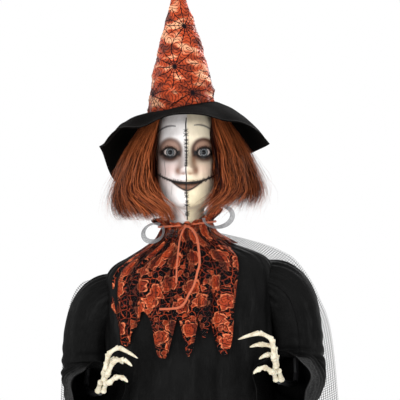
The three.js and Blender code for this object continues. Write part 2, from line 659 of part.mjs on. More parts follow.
// The same surface set in along its own normal
function offset(surface, distance) {
  const step = 1e-3;
  return (u, v) => {
    const [from, across] = v > 0.5 ? [v - step, v] : [v, v + step];
    const here = new THREE.Vector3(...surface(u, from));
    const beside = new THREE.Vector3(...surface(u + step, from)).sub(here);
    const below = new THREE.Vector3(...surface(u, across)).sub(here);
    const normal = beside.cross(below).normalize();
    return new THREE.Vector3(...surface(u, v)).addScaledVector(normal, distance).toArray();
  };
}

function makeHairAndHat() {
  const hair = sheetSolid((u, v) => hairPoint(u, v, 0), (u, v) => hairPoint(u, v, 1), 24, 5, false);
  add("wig", hair, AUBURN);
  const tipShare = 0.985;
  const crown = sheetSolid(
    (u, v) => crownPoint(u, v * tipShare, 0),
    (u, v) => crownPoint(u, v * tipShare, HAT.felt),
    28,
    5,
    true,
  );
  add("hat_crown", crown, ORANGE_LAME);
  add("hat_brim", sheetSolid(brimPoint, offset(brimPoint, HAT.felt), 30, 4, true), BLACK_FELT);
}

// A point on the robe: the angle is 0 at the front and grows to the figure's left
function robePoint(angle, height, out) {
  const [, width, front, back] = rowAt(ROBE_ROWS, height);
  const depth = Math.cos(angle) > 0 ? front : back;
  const tilt = SHOULDER_TILT * Math.min(1, Math.max(0, (height - 700) / 300));
  const x = ROBE_SHIFT + (width + out) * Math.sin(angle);
  return [x, -(depth + out) * Math.cos(angle), height + tilt * x];
}

function makeRobe() {
  const rows = ROBE_ROWS.length - 1;
  const at = (out) => (u, v) => robePoint(2 * Math.PI * u, ROBE_ROWS[Math.round(v * rows)][0], out);
  const gown = sheetSolid(at(0), at(-CLOTH), 24, rows, true);
  const armholes = ARMS.map(({ out, pivot: [x, y, z] }) => rod([out * 60, y, z - 2], [x, y, z - 2], 26, 12));
  add("robe", joined([gown], armholes), BLACK_CLOTH);
}

// The collar stands up around the neck, is tied in by the cord, and spreads over the chest
const COLLAR = [[1210, 66], [1198, 57], [1187, 50.5], [1176, 58]];
const LACE_ROWS = 8;
const LACE_LIFT = 12;

function lacePoint(u, v, out) {
  const place = u * (LACE_HEM.length - 1) * 2;
  const index = Math.min(LACE_HEM.length - 2, Math.floor(place / 2));
  const share = place / 2 - index;
  const degrees = lerp(LACE_HEM[index][0], LACE_HEM[index + 1][0], share);
  const hem = lerp(LACE_HEM[index][1], LACE_HEM[index + 1][1], share);
  const angle = (degrees * Math.PI) / 180;
  const row = Math.round(v * LACE_ROWS);
  if (row < COLLAR.length) {
    const [height, radius] = COLLAR[row];
    const notch = row === 0 ? 14 * Math.max(0, Math.cos(angle)) ** 6 : 0;
    const x = (radius + out) * Math.sin(angle);
    return [x, -(radius + out) * Math.cos(angle), height - notch + 0.1 * x];
  }
  const down = (row - COLLAR.length) / (LACE_ROWS - COLLAR.length);
  return robePoint(angle, lerp(ROBE_ROWS[0][0], hem, down), LACE_LIFT + out);
}

function makeLace() {
  const columns = (LACE_HEM.length - 1) * 2;
  const face = (u, v) => lacePoint(u, v, CLOTH);
  const lining = (u, v) => lacePoint(u, v, 0);
  add("lace_collar", sheetSolid(face, lining, columns, LACE_ROWS, true), LACE);
}

const KNOT = [0, -60, 1187];

// One loop of flat gauze ribbon: an oval band standing beside the knot
function ribbonLoop(x, z, halfWidth, halfHeight) {
  const band = new THREE.Shape();
  band.absellipse(0, 0, halfWidth, halfHeight, 0, 2 * Math.PI);
  const hole = new THREE.Path();
  hole.absellipse(0, 0, halfWidth - 2, halfHeight - 2, 0, 2 * Math.PI);
  band.holes.push(hole);
  const geometry = new THREE.ExtrudeGeometry(band, { depth: 7, bevelEnabled: false, curveSegments: 12 });
  return geometry.rotateX(Math.PI / 2).translate(x, -66, z);
}

function makeTies() {
  const ring = new THREE.TorusGeometry(57, CORD_RADIUS, 6, 28);
  const tiltAngle = Math.atan(0.1);
  ring.rotateY(-tiltAngle).translate(0, 0, KNOT[2] - 0.3);
  const knot = new THREE.SphereGeometry(5.5, 10, 8).translate(...KNOT);
  add("neck_cord", joined([ring, knot]), ORANGE_CORD);
  const long = [
    [3, -65, 1183],
    [12, -76, 1176],
    [20, -89, 1160],
    [24, -103, 1134],
    [25, -110, 1110],
    [21, -112, 1094],
    [14, -114, 1068],
    [4, -116, 1050],
    [-4, -117, 1034],
    [-14, -117, 1025],
    [-30, -116, 1022],
    [-54, -113, 1021],
  ];
  const short = [
    [-3, -65, 1182],
    [-10, -79, 1172],
    [-15, -92, 1152],
    [-18, -105, 1124],
    [-20, -111, 1100],
    [-21, -113, 1072],
  ];
  add("cord_tail_long", tube(long, CORD_RADIUS), ORANGE_CORD);
  add("cord_tail_short", tube(short, CORD_RADIUS * 0.7), ORANGE_CORD);
  add("bow_loop_left", ribbonLoop(62, 1203, 27, 19), GREY_GAUZE);
  add("bow_loop_right", ribbonLoop(-67, 1171, 19, 16), GREY_GAUZE);
}

// The cape hangs from the back of the neck, behind the shoulders and the sleeves
const CAPE_RIGHT = [
  [-60, 24, 1168],
  [-112, 62, 1132],
  [-176, 84, 1096],
  [-238, 88, 1040],
  [-260, 94, 920],
  [-268, 104, 740],
  [-276, 114, 560],
];
const CAPE_LEFT = [
  [69, 24, 1168],
  [134, 62, 1152],
  [192, 84, 1132],
  [232, 88, 1104],
  [274, 94, 1036],
  [306, 102, 922],
  [334, 114, 560],
];
const CAPE_REAR = [
  [4, 76, 1172],
  [4, 92, 1140],
  [4, 104, 1100],
  [4, 110, 1040],
  [4, 116, 920],
  [4, 136, 740],
  [4, 166, 530],
];

function capePoint(u, v) {
  const [right, left, rear] = [CAPE_RIGHT, CAPE_LEFT, CAPE_REAR].map((points) => {
    const curve = new THREE.CatmullRomCurve3(points.map((point) => new THREE.Vector3(...point)));
    return curve.getPoint(Math.min(1, Math.max(0, v)));
  });
  const x = lerp(right.x, left.x, u);
  const edge = right.clone().lerp(left, u);
  const bulge = Math.max(0, Math.sin(Math.PI * Math.min(1, Math.max(0, u)))) ** 0.8;
  return [x, lerp(edge.y, rear.y, bulge), lerp(edge.z, rear.z, bulge)];
}

function makeCape() {
  add("tulle_cape", sheetSolid(capePoint, offset(capePoint, 1.6), 16, 8, false), GREY_GAUZE);
}

makeStand();
makePoles();
makeCase();
makeMechanism();
makeElectronics();
makeShoulderBar();
ARMS.forEach(makeArm);
makeHead();
makeHairAndHat();
makeRobe();
makeLace();
makeTies();
makeCape();

export default group;
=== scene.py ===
# The looks of a life-size animated witch figure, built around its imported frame.
# Shapes are worked out in millimetres and turned into metres when a mesh is made.
# The figure faces -Y.  Its own left is +X.
import json
import math
import bpy
import numpy as np
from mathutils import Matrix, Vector


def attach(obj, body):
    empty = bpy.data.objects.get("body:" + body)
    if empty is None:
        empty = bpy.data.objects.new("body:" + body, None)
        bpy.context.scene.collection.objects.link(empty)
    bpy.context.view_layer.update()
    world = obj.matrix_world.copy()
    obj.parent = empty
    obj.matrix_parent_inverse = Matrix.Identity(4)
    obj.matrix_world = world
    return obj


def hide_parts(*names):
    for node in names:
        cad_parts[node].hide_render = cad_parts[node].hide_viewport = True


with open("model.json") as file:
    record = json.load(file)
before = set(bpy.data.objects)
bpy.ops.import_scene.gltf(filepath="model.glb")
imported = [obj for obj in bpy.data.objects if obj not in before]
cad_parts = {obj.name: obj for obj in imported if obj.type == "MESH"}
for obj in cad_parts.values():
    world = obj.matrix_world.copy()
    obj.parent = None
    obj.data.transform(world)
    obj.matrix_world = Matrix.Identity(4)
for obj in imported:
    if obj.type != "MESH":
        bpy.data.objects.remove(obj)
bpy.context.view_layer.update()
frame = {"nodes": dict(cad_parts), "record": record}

MM = 0.001
TAU = 2 * math.pi


# ---------------------------------------------------------------- numbers and curves

def smooth(low, high, value):
    """0 below low, 1 above high, and a smooth step between; low may be the larger."""
    t = np.clip((value - low) / (high - low), 0, 1)
    return t * t * (3 - 2 * t)


def bump(x, z, middle, spread):
    """A round hill of height 1."""
    return np.exp(-0.5 * (((x - middle[0]) / spread[0]) ** 2 + ((z - middle[1]) / spread[1]) ** 2))


def ridge(distance, width):
    """1 where distance is 0, and falling to 0 on both sides over about width."""
    return np.exp(-((distance / width) ** 2))


def table(rows, column, at, blur=0.0):
    """Reads a column of a table of rows, ordered by its first column, with soft corners."""
    rows = sorted(rows)
    keys = [row[0] for row in rows]
    values = [row[column] for row in rows]
    if blur == 0:
        return np.interp(at, keys, values)
    offsets = np.linspace(-1, 1, 9) * blur
    return sum(np.interp(np.asarray(at) + step, keys, values) for step in offsets) / len(offsets)


def spline(points, count):
    """A smooth curve through points, as count points evenly spaced along it."""
    points = np.asarray(points, float)
    padded = np.vstack([2 * points[0] - points[1], points, 2 * points[-1] - points[-2]])
    curve = []
    for i in range(len(points) - 1):
        a, b, c, d = padded[i : i + 4]
        t = np.linspace(0, 1, 24, endpoint=False)[:, None]
        curve.append(
            0.5 * (2 * b + (c - a) * t + (2 * a - 5 * b + 4 * c - d) * t**2 + (3 * b - a - 3 * c + d) * t**3)
        )
    curve = np.vstack(curve + [points[-1:]])
    along = np.concatenate([[0], np.cumsum(np.linalg.norm(np.diff(curve, axis=0), axis=1))])
    wanted = np.linspace(0, along[-1], count)
    return np.stack([np.interp(wanted, along, curve[:, k]) for k in range(3)], axis=1)


def unit(vectors):
    return vectors / np.maximum(np.linalg.norm(vectors, axis=-1, keepdims=True), 1e-9)


def waves(value, seed, octaves=4):
    """Smooth wandering noise along one number, between about -1 and 1."""
    local = np.random.default_rng(seed)
    total = np.zeros_like(np.asarray(value, float))
    for octave in range(octaves):
        phase, pace = local.uniform(0, TAU), local.uniform(0.8, 1.25)
        total = total + np.sin(value * pace * 2**octave + phase) / 1.7**octave
    return total / 2


# ---------------------------------------------------------------- meshes

def make_object(name, mesh, material, body, replaced):
    """A piece that rides on a body and stands for a CAD node."""
    thing = bpy.data.objects.new(name, mesh)
    bpy.context.scene.collection.objects.link(thing)
    mesh.materials.append(material)
    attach(thing, body)
    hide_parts(replaced)
    return thing


def make_mesh(name, corners, faces, colours=None, uv=None):
    """A mesh from corners in millimetres and quads or triangles, with a colour and a uv per corner."""
    mesh = bpy.data.meshes.new(name)
    corners = np.asarray(corners, np.float64) * MM
    faces = np.asarray(faces, np.int32)
    sides = faces.shape[1]
    mesh.vertices.add(len(corners))
    mesh.vertices.foreach_set("co", corners.ravel())
    mesh.loops.add(faces.size)
    mesh.loops.foreach_set("vertex_index", faces.ravel())
    mesh.polygons.add(len(faces))
    mesh.polygons.foreach_set("loop_start", np.arange(0, faces.size, sides, dtype=np.int32))
    mesh.update(calc_edges=True)
    mesh.polygons.foreach_set("use_smooth", np.full(len(faces), True))
    if colours is not None:
        layer = mesh.color_attributes.new("paint", "FLOAT_COLOR", "POINT")
        opaque = np.concatenate([colours, np.ones((len(colours), 1))], axis=1)
        layer.data.foreach_set("color", opaque.astype(np.float32).ravel())
    if uv is not None:
        layer = mesh.uv_layers.new(name="UVMap")
        layer.data.foreach_set("uv", np.asarray(uv, np.float32)[faces.ravel()].ravel())
    mesh.validate()
    return mesh


def grid_mesh(name, points, ring=False, colours=None, uv=None):
    """A mesh over a grid of points, whose rows close into rings if asked."""
    rows, columns = points.shape[:2]
    colours = None if colours is None else colours.reshape(-1, 3)
    uv = None if uv is None else uv.reshape(-1, 2)
    return make_mesh(name, points.reshape(-1, 3), grid_faces(rows, columns, ring), colours, uv)


def grid(rows, columns, down, across, ring=False):
    """Two grids of numbers: one that grows down the rows and one that grows across the columns."""
    beside = np.linspace(*across, columns, endpoint=not ring)
    return np.meshgrid(np.linspace(*down, rows), beside, indexing="ij")


def grid_faces(rows, columns, ring=False):
    """Quads over a grid of points stored row by row."""
    across = columns if ring else columns - 1
    i, j = np.meshgrid(np.arange(rows - 1), np.arange(across), indexing="ij")
    right = (j + 1) % columns
    row, next_row = i * columns, (i + 1) * columns
    return np.stack([row + j, row + right, next_row + right, next_row + j], -1).reshape(-1, 4)


class Heap:
    """Collects many small shapes into one mesh."""

    def __init__(self):
        self.corners, self.faces, self.colours, self.count = [], [], [], 0

    def take(self, corners, faces, colour=(1, 1, 1)):
        corners = np.asarray(corners, float).reshape(-1, 3)
        self.corners.append(corners)
        self.faces.append(np.asarray(faces) + self.count)
        self.colours.append(np.broadcast_to(np.asarray(colour, float), (len(corners), 3)))
        self.count += len(corners)

    def tube(self, points, radii, sides=6, colour=(1, 1, 1)):
        """A round tube along points, closed with a point at each end."""
        points = np.asarray(points, float)
        radii = np.broadcast_to(np.asarray(radii, float), (len(points),))
        corners = tube_rings(points, radii, sides)
        caps = np.stack([np.repeat(points[:1], sides, 0), np.repeat(points[-1:], sides, 0)])
        corners = np.concatenate([caps[:1], corners, caps[1:]])
        self.take(corners, grid_faces(len(points) + 2, sides, ring=True), colour)

    def mesh(self, name):
        return make_mesh(name, np.vstack(self.corners), np.vstack(self.faces), np.vstack(self.colours))


def tube_frames(points):
    """Two directions across the path at each point, carried along it without twisting."""
    along = unit(np.gradient(points, axis=0))
    start = np.array([0.0, 0.0, 1.0]) if abs(along[0][2]) < 0.9 else np.array([1.0, 0.0, 0.0])
    first = np.zeros_like(points)
    side = unit(np.cross(along[0], start))
    for i, way in enumerate(along):
        side = unit(side - way * np.dot(side, way))
        first[i] = side
    return first, np.cross(along, first)


def tube_rings(points, radii, sides):
    first, second = tube_frames(points)
    angle = np.arange(sides) * TAU / sides
    ring = np.cos(angle)[None, :, None] * first[:, None] + np.sin(angle)[None, :, None] * second[:, None]
    return points[:, None] + ring * np.asarray(radii).reshape(len(points), -1, 1)


def apply_modifiers(thing):
    """Bakes a piece's modifiers into its mesh."""
    graph = bpy.context.evaluated_depsgraph_get()
    shape = thing.evaluated_get(graph)
    done = bpy.data.meshes.new_from_object(shape, preserve_all_data_layers=True, depsgraph=graph)
    thing.modifiers.clear()
    thing.data = done
    for polygon in thing.data.polygons:
        polygon.use_smooth = True


def thicken(thing, thickness):
    """Gives a sheet two faces and an edge, thickness in millimetres."""
    solid = thing.modifiers.new("thickness", "SOLIDIFY")
    solid.thickness = thickness * MM
    solid.offset = 0
    apply_modifiers(thing)


# ---------------------------------------------------------------- materials

class Shader:
    """Short ways to build a node material around one Principled BSDF."""

    def __init__(self, name, **sockets):
        self.material = bpy.data.materials.new(name)
        self.material.use_nodes = True
        self.tree = self.material.node_tree
        self.bsdf = self.tree.nodes["Principled BSDF"]
        for key, value in sockets.items():
            name = key.replace("_", " ").title()
            self.set(name.replace("Ior", "IOR"), value)

    def set(self, name, value):
        self.connect(value, self.bsdf.inputs[name])

    def connect(self, value, socket):
        if isinstance(value, bpy.types.NodeSocket):
            self.tree.links.new(value, socket)
        elif isinstance(value, tuple) and len(value) == 3 and len(socket.default_value) == 4:
            socket.default_value = (*value, 1)
        else:
            socket.default_value = value

    def node(self, kind, inputs=None, **settings):
        node = self.tree.nodes.new("ShaderNode" + kind)
        for name, value in settings.items():
            setattr(node, name, value)
        for name, value in (inputs or {}).items():
            self.connect(value, node.inputs[name])
        return node

    def math(self, operation, a, b=0.0, c=0.0):
        return self.node("Math", {0: a, 1: b, 2: c}, operation=operation).outputs[0]

    def times(self, a, b):
        return self.math("MULTIPLY", a, b)

    def less(self, a, b):
        return self.math("SUBTRACT", a, b)

    def larger(self, a, b):
        return self.math("MAXIMUM", a, b)

    def size(self, a):
        return self.math("ABSOLUTE", a)

    def fraction(self, a):
        return self.math("FRACT", a)

    def sine(self, a):
        return self.math("SINE", a)

    def vectors(self, operation, a, b=(0.0, 0.0, 0.0), c=(0.0, 0.0, 0.0)):
        return self.node("VectorMath", {0: a, 1: b, 2: c}, operation=operation).outputs[0]

    def parts(self, vector):
        return self.node("SeparateXYZ", {0: vector}).outputs

    def clamp_range(self, value, low, high, to_low=0.0, to_high=1.0):
        ends = {"Value": value, "From Min": low, "From Max": high, "To Min": to_low, "To Max": to_high}
        return self.node("MapRange", ends, interpolation_type="SMOOTHSTEP").outputs[0]

    def mix(self, share, a, b, blend="MIX"):
        node = self.node("Mix", {0: share, 6: a, 7: b}, data_type="RGBA", blend_type=blend)
        return node.outputs[2]

    def place(self):
        return self.node("TexCoord").outputs["Object"]

    def uv(self):
        return self.node("UVMap").outputs[0]

    def paint(self):
        return self.node("Attribute", attribute_name="paint").outputs["Color"]

    def scaled(self, vector, scale):
        return self.vectors("MULTIPLY", vector, scale)

    def noise(self, vector, scale, detail=3.0, rough=0.5, output=0):
        sockets = {"Vector": vector, "Scale": scale, "Detail": detail, "Roughness": rough}
        return self.node("TexNoise", sockets).outputs[output]

    def voronoi(self, vector, scale, **settings):
        sockets = {"Vector": vector, "Scale": scale, "Randomness": settings.pop("randomness", 1.0)}
        return self.node("TexVoronoi", sockets, voronoi_dimensions="2D", **settings).outputs

    def moved_about(self, vector, reach, scale, detail):
        """The vector, pushed sideways by noise by up to half of reach, in metres."""
        noise = self.node("TexNoise", {"Vector": vector, "Scale": scale, "Detail": detail}).outputs["Color"]
        shift = self.vectors("SUBTRACT", noise, (0.5, 0.5, 0.5))
        return self.vectors("MULTIPLY_ADD", shift, (reach, reach, 0), vector)

    def around_middles(self, vector, gap, randomness):
        """The angle and distance from the nearest of many middles, scattered about gap metres apart."""
        middle = self.voronoi(vector, 1 / gap, randomness=randomness)["Position"]
        away = self.vectors("SUBTRACT", vector, middle)
        split = self.parts(away)
        length = self.node("VectorMath", {0: away}, operation="LENGTH").outputs["Value"]
        return self.math("ARCTAN2", split[1], split[0]), length

    def tinted(self, shade):
        """The piece's own paint, times a shade."""
        self.set("Base Color", self.mix(1.0, self.paint(), shade, "MULTIPLY"))

    def bumps(self, height, distance, strength=1.0):
        """Bump from a height between 0 and 1, distance in millimetres; later calls add to earlier ones."""
        sockets = {"Height": height, "Distance": distance * MM, "Strength": strength}
        node = self.node("Bump", sockets)
        earlier = self.bsdf.inputs["Normal"].links
        if earlier:
            self.tree.links.new(earlier[0].from_socket, node.inputs["Normal"])
        self.tree.links.new(node.outputs[0], self.bsdf.inputs["Normal"])


def weave(shader, vector, pitch):
    """Height, from 0 to 1, of a plain weave whose threads are pitch millimetres apart."""
    turns = math.pi / (pitch * MM)
    over, under = [shader.sine(shader.times(part, turns)) for part in shader.parts(vector)[:2]]
    return shader.math("MULTIPLY_ADD", shader.times(over, under), 0.5, 0.5)


def steel_coat_material():
    shader = Shader("powder_coated_steel", roughness=0.5, metallic=0.0, specular_ior_level=0.5)
    place = shader.place()
    wear = shader.clamp_range(shader.noise(place, 38, 8, 0.7), 0.62, 0.7)
    shader.set("Base Color", shader.mix(wear, (0.018, 0.018, 0.02), (0.06, 0.06, 0.062)))
    shader.set("Roughness", shader.clamp_range(shader.noise(place, 25), 0.3, 0.7, 0.38, 0.6))
    shader.bumps(shader.noise(place, 1600, 2), 0.12, 0.6)
    return shader.material


def zinc_material():
    shader = Shader("zinc_plated_steel", metallic=1.0, roughness=0.3)
    place = shader.place()
    spangle = shader.node("TexVoronoi", {"Vector": place, "Scale": 420.0}).outputs["Color"]
    tone = shader.node("SeparateColor", {0: spangle}).outputs[0]
    shader.set("Base Color", shader.mix(tone, (0.5, 0.51, 0.53), (0.68, 0.68, 0.66)))
    shader.set("Roughness", shader.clamp_range(shader.noise(place, 300), 0.3, 0.7, 0.22, 0.42))
    shader.bumps(shader.noise(place, 900), 0.05, 0.4)
    return shader.material


def plastic_material(name, colour, roughness=0.45, grain=1200):
    shader = Shader(name, roughness=roughness)
    place = shader.place()
    dull = tuple(0.8 * part for part in colour)
    shader.set("Base Color", shader.mix(shader.noise(place, 30, 4), colour, dull))
    scuffs = shader.clamp_range(shader.noise(place, 70, 8, 0.7), 0.55, 0.75)
    shader.set("Roughness", shader.clamp_range(scuffs, 0, 1, roughness, min(1.0, roughness + 0.2)))
    shader.bumps(shader.noise(place, grain, 2), 0.08, 0.5)
    return shader.material


def cell_material():
    shader = Shader("battery_wrap", roughness=0.28, metallic=0.3)
    place = shader.place()
    height = shader.parts(place)[2]
    band = shader.clamp_range(height, 1.012, 1.0125)
    shader.set("Base Color", shader.mix(band, (0.03, 0.03, 0.035), (0.55, 0.33, 0.08)))
    shader.bumps(shader.noise(place, 500), 0.03, 0.4)
    return shader.material


def board_material():
    shader = Shader("circuit_board_green", roughness=0.35)
    place = shader.place()
    tracks = shader.node("TexBrick", {"Vector": place, "Scale": 160.0, "Mortar Size": 0.03}).outputs[1]
    shader.set("Base Color", shader.mix(tracks, (0.01, 0.09, 0.03), (0.03, 0.2, 0.07)))
    shader.bumps(tracks, 0.05, 0.5)
    return shader.material


def finish_frame_nodes():
    """Materials for the CAD nodes that stay as they are."""
    steel = steel_coat_material()
    zinc = zinc_material()
    black = plastic_material("moulded_black_plastic", (0.02, 0.02, 0.021))
    cream = plastic_material("gear_nylon", (0.72, 0.68, 0.56), 0.38)
    finishes = {
        "black_steel": steel,
        "zinc_steel": zinc,
        "black_plastic": black,
        "gear_plastic": cream,
        "board_green": board_material(),
        "speaker_grey": plastic_material("speaker_cone", (0.03, 0.03, 0.032), 0.7, 700),
        "cell_wrap": cell_material(),
        "button_red": plastic_material("button_red", (0.45, 0.02, 0.015), 0.25),
        "led_clear": plastic_material("led_clear", (0.7, 0.8, 0.9), 0.12),
        "lead_black": plastic_material("lead_black", (0.02, 0.02, 0.02), 0.4),
    }
    for part in frame["record"]["subparts"]:
        thing = frame["nodes"].get(part["node"])
        if thing is not None and part["material_slot"] in finishes:
            thing.data.materials.clear()
            thing.data.materials.append(finishes[part["material_slot"]])


# ---------------------------------------------------------------- camera, light and floor

def make_camera():
    data = bpy.data.cameras.new("camera")
    camera = bpy.data.objects.new("camera", data)
    bpy.context.scene.collection.objects.link(camera)
    view_width = 0.8
    distance = 3.6
    data.sensor_width = 36
    data.lens = data.sensor_width * distance / view_width
    face_plane = -0.06
    camera.location = (0.026, face_plane - distance, 1.236)
    camera.rotation_euler = (math.pi / 2, 0, 0)
    bpy.context.scene.camera = camera


def make_light(name, place, aim, size, watts):
    data = bpy.data.lights.new(name, "AREA")
    data.size = size
    data.energy = watts
    light = bpy.data.objects.new(name, data)
    bpy.context.scene.collection.objects.link(light)
    light.location = place
    light.rotation_euler = (Vector(aim) - Vector(place)).to_track_quat("-Z", "Y").to_euler()


def make_studio():
    world = bpy.data.worlds.new("studio")
    bpy.context.scene.world = world
    world.use_nodes = True
    world.node_tree.nodes["Background"].inputs[0].default_value = (1, 1, 1, 1)
    world.node_tree.nodes["Background"].inputs[1].default_value = 1.0
    bpy.context.scene.view_settings.view_transform = "Standard"
    aim = (0, 0, 1.25)
    make_light("key", (-1.1, -3.0, 1.35), aim, 1.2, 36)
    make_light("fill", (1.5, -2.8, 1.1), aim, 1.8, 14)
    make_light("rim", (0.8, 2.2, 2.4), aim, 1.4, 25)
    floor = Shader("pale_floor", roughness=0.8)
    tint = floor.noise(floor.place(), 3.0)
    floor.set("Base Color", floor.mix(tint, (0.86, 0.86, 0.86), (0.9, 0.9, 0.9)))
    half = 4000.0
    corners = [(-half, -half, -0.2), (half, -half, -0.2), (half, half, -0.2), (-half, half, -0.2)]
    mesh = make_mesh("floor", corners, [(0, 1, 2, 3)])
    mesh.materials.append(floor.material)
    ground = bpy.data.objects.new("floor", mesh)
    bpy.context.scene.collection.objects.link(ground)


# ---------------------------------------------------------------- orange cord

CORD_RADIUS = 2.3
KNOT = (0, -60, 1187)
LONG_TAIL = [(3, -65, 1183), (12, -76, 1176), (20, -89, 1160), (24, -103, 1134), (25, -110, 1110),
             (21, -112, 1094), (14, -114, 1068), (4, -116, 1050), (-4, -117, 1034), (-14, -117, 1025),
             (-30, -116, 1022), (-54, -113, 1021)]
SHORT_TAIL = [(-3, -65, 1182), (-10, -79, 1172), (-15, -92, 1152), (-18, -105, 1124), (-20, -111, 1100),
              (-21, -113, 1072)]


def braid_mesh(name, route, radius, closed=False):
    """A round braid: strands that run both ways round the cord and pass over one another."""
    strands, sides = 3, 18
    along = np.concatenate([[0], np.cumsum(np.linalg.norm(np.diff(route, axis=0), axis=1))])
    twist = along / (4.6 * radius) * TAU
    first, second = tube_frames(route)
    angle = np.arange(sides) * TAU / sides
    right = np.cos(strands * angle[None, :] + twist[:, None])
    left = np.cos(strands * angle[None, :] - twist[:, None])
    plait = np.maximum(right, left)
    reach = radius * (0.84 + 0.17 * plait)
    if not closed:
        taper = np.minimum(1, 0.55 + np.minimum(along, along[-1] - along) / radius)
        reach = reach * taper[:, None]
    ring = np.cos(angle)[None, :, None] * first[:, None] + np.sin(angle)[None, :, None] * second[:, None]
    corners = route[:, None] + ring * reach[:, :, None]
    # Painted shade: the strands are orange where they stand out and dark brown in the grooves between them.
    tone = 0.55 + 0.45 * (plait[..., None] + 1) / 2
    orange, groove_shade = np.array([0.62, 0.13, 0.04]), np.array([0.3, 0.05, 0.02])
    colours = groove_shade + (orange - groove_shade) * tone
    rows = len(route)
    if closed:
        faces = np.vstack([grid_faces(rows, sides, ring=True), closing_faces(rows, sides)])
    else:
        ends = np.stack([np.repeat(route[:1], sides, 0), np.repeat(route[-1:], sides, 0)])
        corners = np.concatenate([ends[:1], corners, ends[1:]])
        colours = np.concatenate([colours[:1], colours, colours[-1:]])
        faces = grid_faces(rows + 2, sides, ring=True)
    return make_mesh(name, corners.reshape(-1, 3), faces, colours.reshape(-1, 3))


def closing_faces(rows, sides):
    """Quads that join the last ring of a closed tube to its first."""
    j = np.arange(sides)
    k = (j + 1) % sides
    last = (rows - 1) * sides
    return np.stack([last + j, last + k, k, j], -1)


def cord_material():
    shader = Shader("braided_orange_cord", roughness=0.62, sheen_weight=0.25)
    place = shader.place()
    fibres = shader.noise(shader.scaled(place, (1, 1, 0.35)), 2600, 3, 0.6)
    shade = shader.mix(fibres, (0.6, 0.6, 0.6), (1.25, 1.2, 1.15))
    shader.tinted(shade)
    shader.bumps(fibres, 0.25, 0.8)
    return shader.material


def make_cords():
    material = cord_material()
    tails = [("cord_tail_long", LONG_TAIL, CORD_RADIUS), ("cord_tail_short", SHORT_TAIL, 0.7 * CORD_RADIUS)]
    for name, points, radius in tails:
        rough = spline(points, 60)
        length = np.linalg.norm(np.diff(rough, axis=0), axis=1).sum()
        route = spline(points, int(length / (0.35 * radius)))
        mesh = braid_mesh(name, route, radius)
        tail = make_object(name + "_braid", mesh, material, "stand", name)
    turn = np.linspace(0, TAU, 420, endpoint=False)
    radius = 57.5 + 0.6 * waves(turn * 3, 15)
    ring = np.stack([radius * np.sin(turn), -radius * np.cos(turn), KNOT[2] + 5.7 * np.sin(turn)], 1)
    mesh = braid_mesh("neck_cord", ring, CORD_RADIUS, True)
    make_object("neck_cord_braid", mesh, material, "stand", "neck_cord")
    knot = Heap()
    for tilt, size in ((0.5, 5.2), (-0.7, 4.8), (1.4, 4.4)):
        around = np.linspace(0, TAU, 40)
        loop = np.stack([size * np.cos(around), 3.2 * np.sin(around + tilt), size * np.sin(around) * 0.8], 1)
        c, s = math.cos(tilt), math.sin(tilt)
        lean = np.array([[c, 0, s], [0, 1, 0], [-s, 0, c]])
        knot.tube(loop @ lean + np.array(KNOT), CORD_RADIUS, 10, (0.5, 0.1, 0.03))
    make_object("neck_cord_knot", knot.mesh("knot"), material, "stand", "neck_cord")


# ---------------------------------------------------------------- face

# Height, half width, depth to the front, depth to the rear of the head
HEAD_ROWS = [
    (1186, 38, 40, 40),
    (1205, 35, 42, 42),
    (1218, 34, 52, 44),
    (1225, 41, 73, 46),
    (1240, 50, 81, 50),
    (1265, 57, 84, 57),
    (1291, 61, 85, 64),
    (1330, 64, 80, 72),
    (1360, 63, 83, 71),
    (1390, 60, 79, 63),
    (1415, 50, 64, 57),
    (1432, 36, 46, 40),
    (1442, 18, 22, 20),
]
NECK_END, MASK_TOP = 1186, 1441
EYE = (33.5, 1331)
EYE_HALF_WIDTH = 14.8
EYE_DEPTH = 57
EYE_RADIUS = 13
SMILE_END = 57
# Height of the cross stitches on the seam
SEAM_STITCHES = [1374, 1366, 1355, 1348, 1340, 1333, 1326, 1320, 1314, 1309, 1304, 1250, 1243, 1233, 1226,
                 1211, 1206]
# Height, how far the nose stands out, and its half width
NOSE = [(1286, 0, 8), (1290, 5, 9), (1295, 13, 9), (1300, 17, 8.6), (1305, 17.5, 8), (1312, 14, 7),
        (1322, 10, 6), (1335, 7, 5.5), (1347, 4, 6), (1360, 0, 8)]


def mouth_height(x):
    """Height of the line between the lips, which runs on to the ends of the painted smile."""
    return 1269.5 + 0.0052 * x * x


def eye_opening(x, z):
    """How far outside the almond of the eye a point is, and its place from the eye's middle."""
    u = np.abs(x) - EYE[0]
    v = z - EYE[1]
    share = np.clip(1 - (u / EYE_HALF_WIDTH) ** 2, 0, 1)
    upper = 7.2 * share**0.75 + 0.06 * u
    lower = -7.4 * share**0.85 + 0.06 * u
    away = np.maximum(np.maximum(v - upper, lower - v), np.abs(u) - EYE_HALF_WIDTH)
    return away, u, v, upper, lower


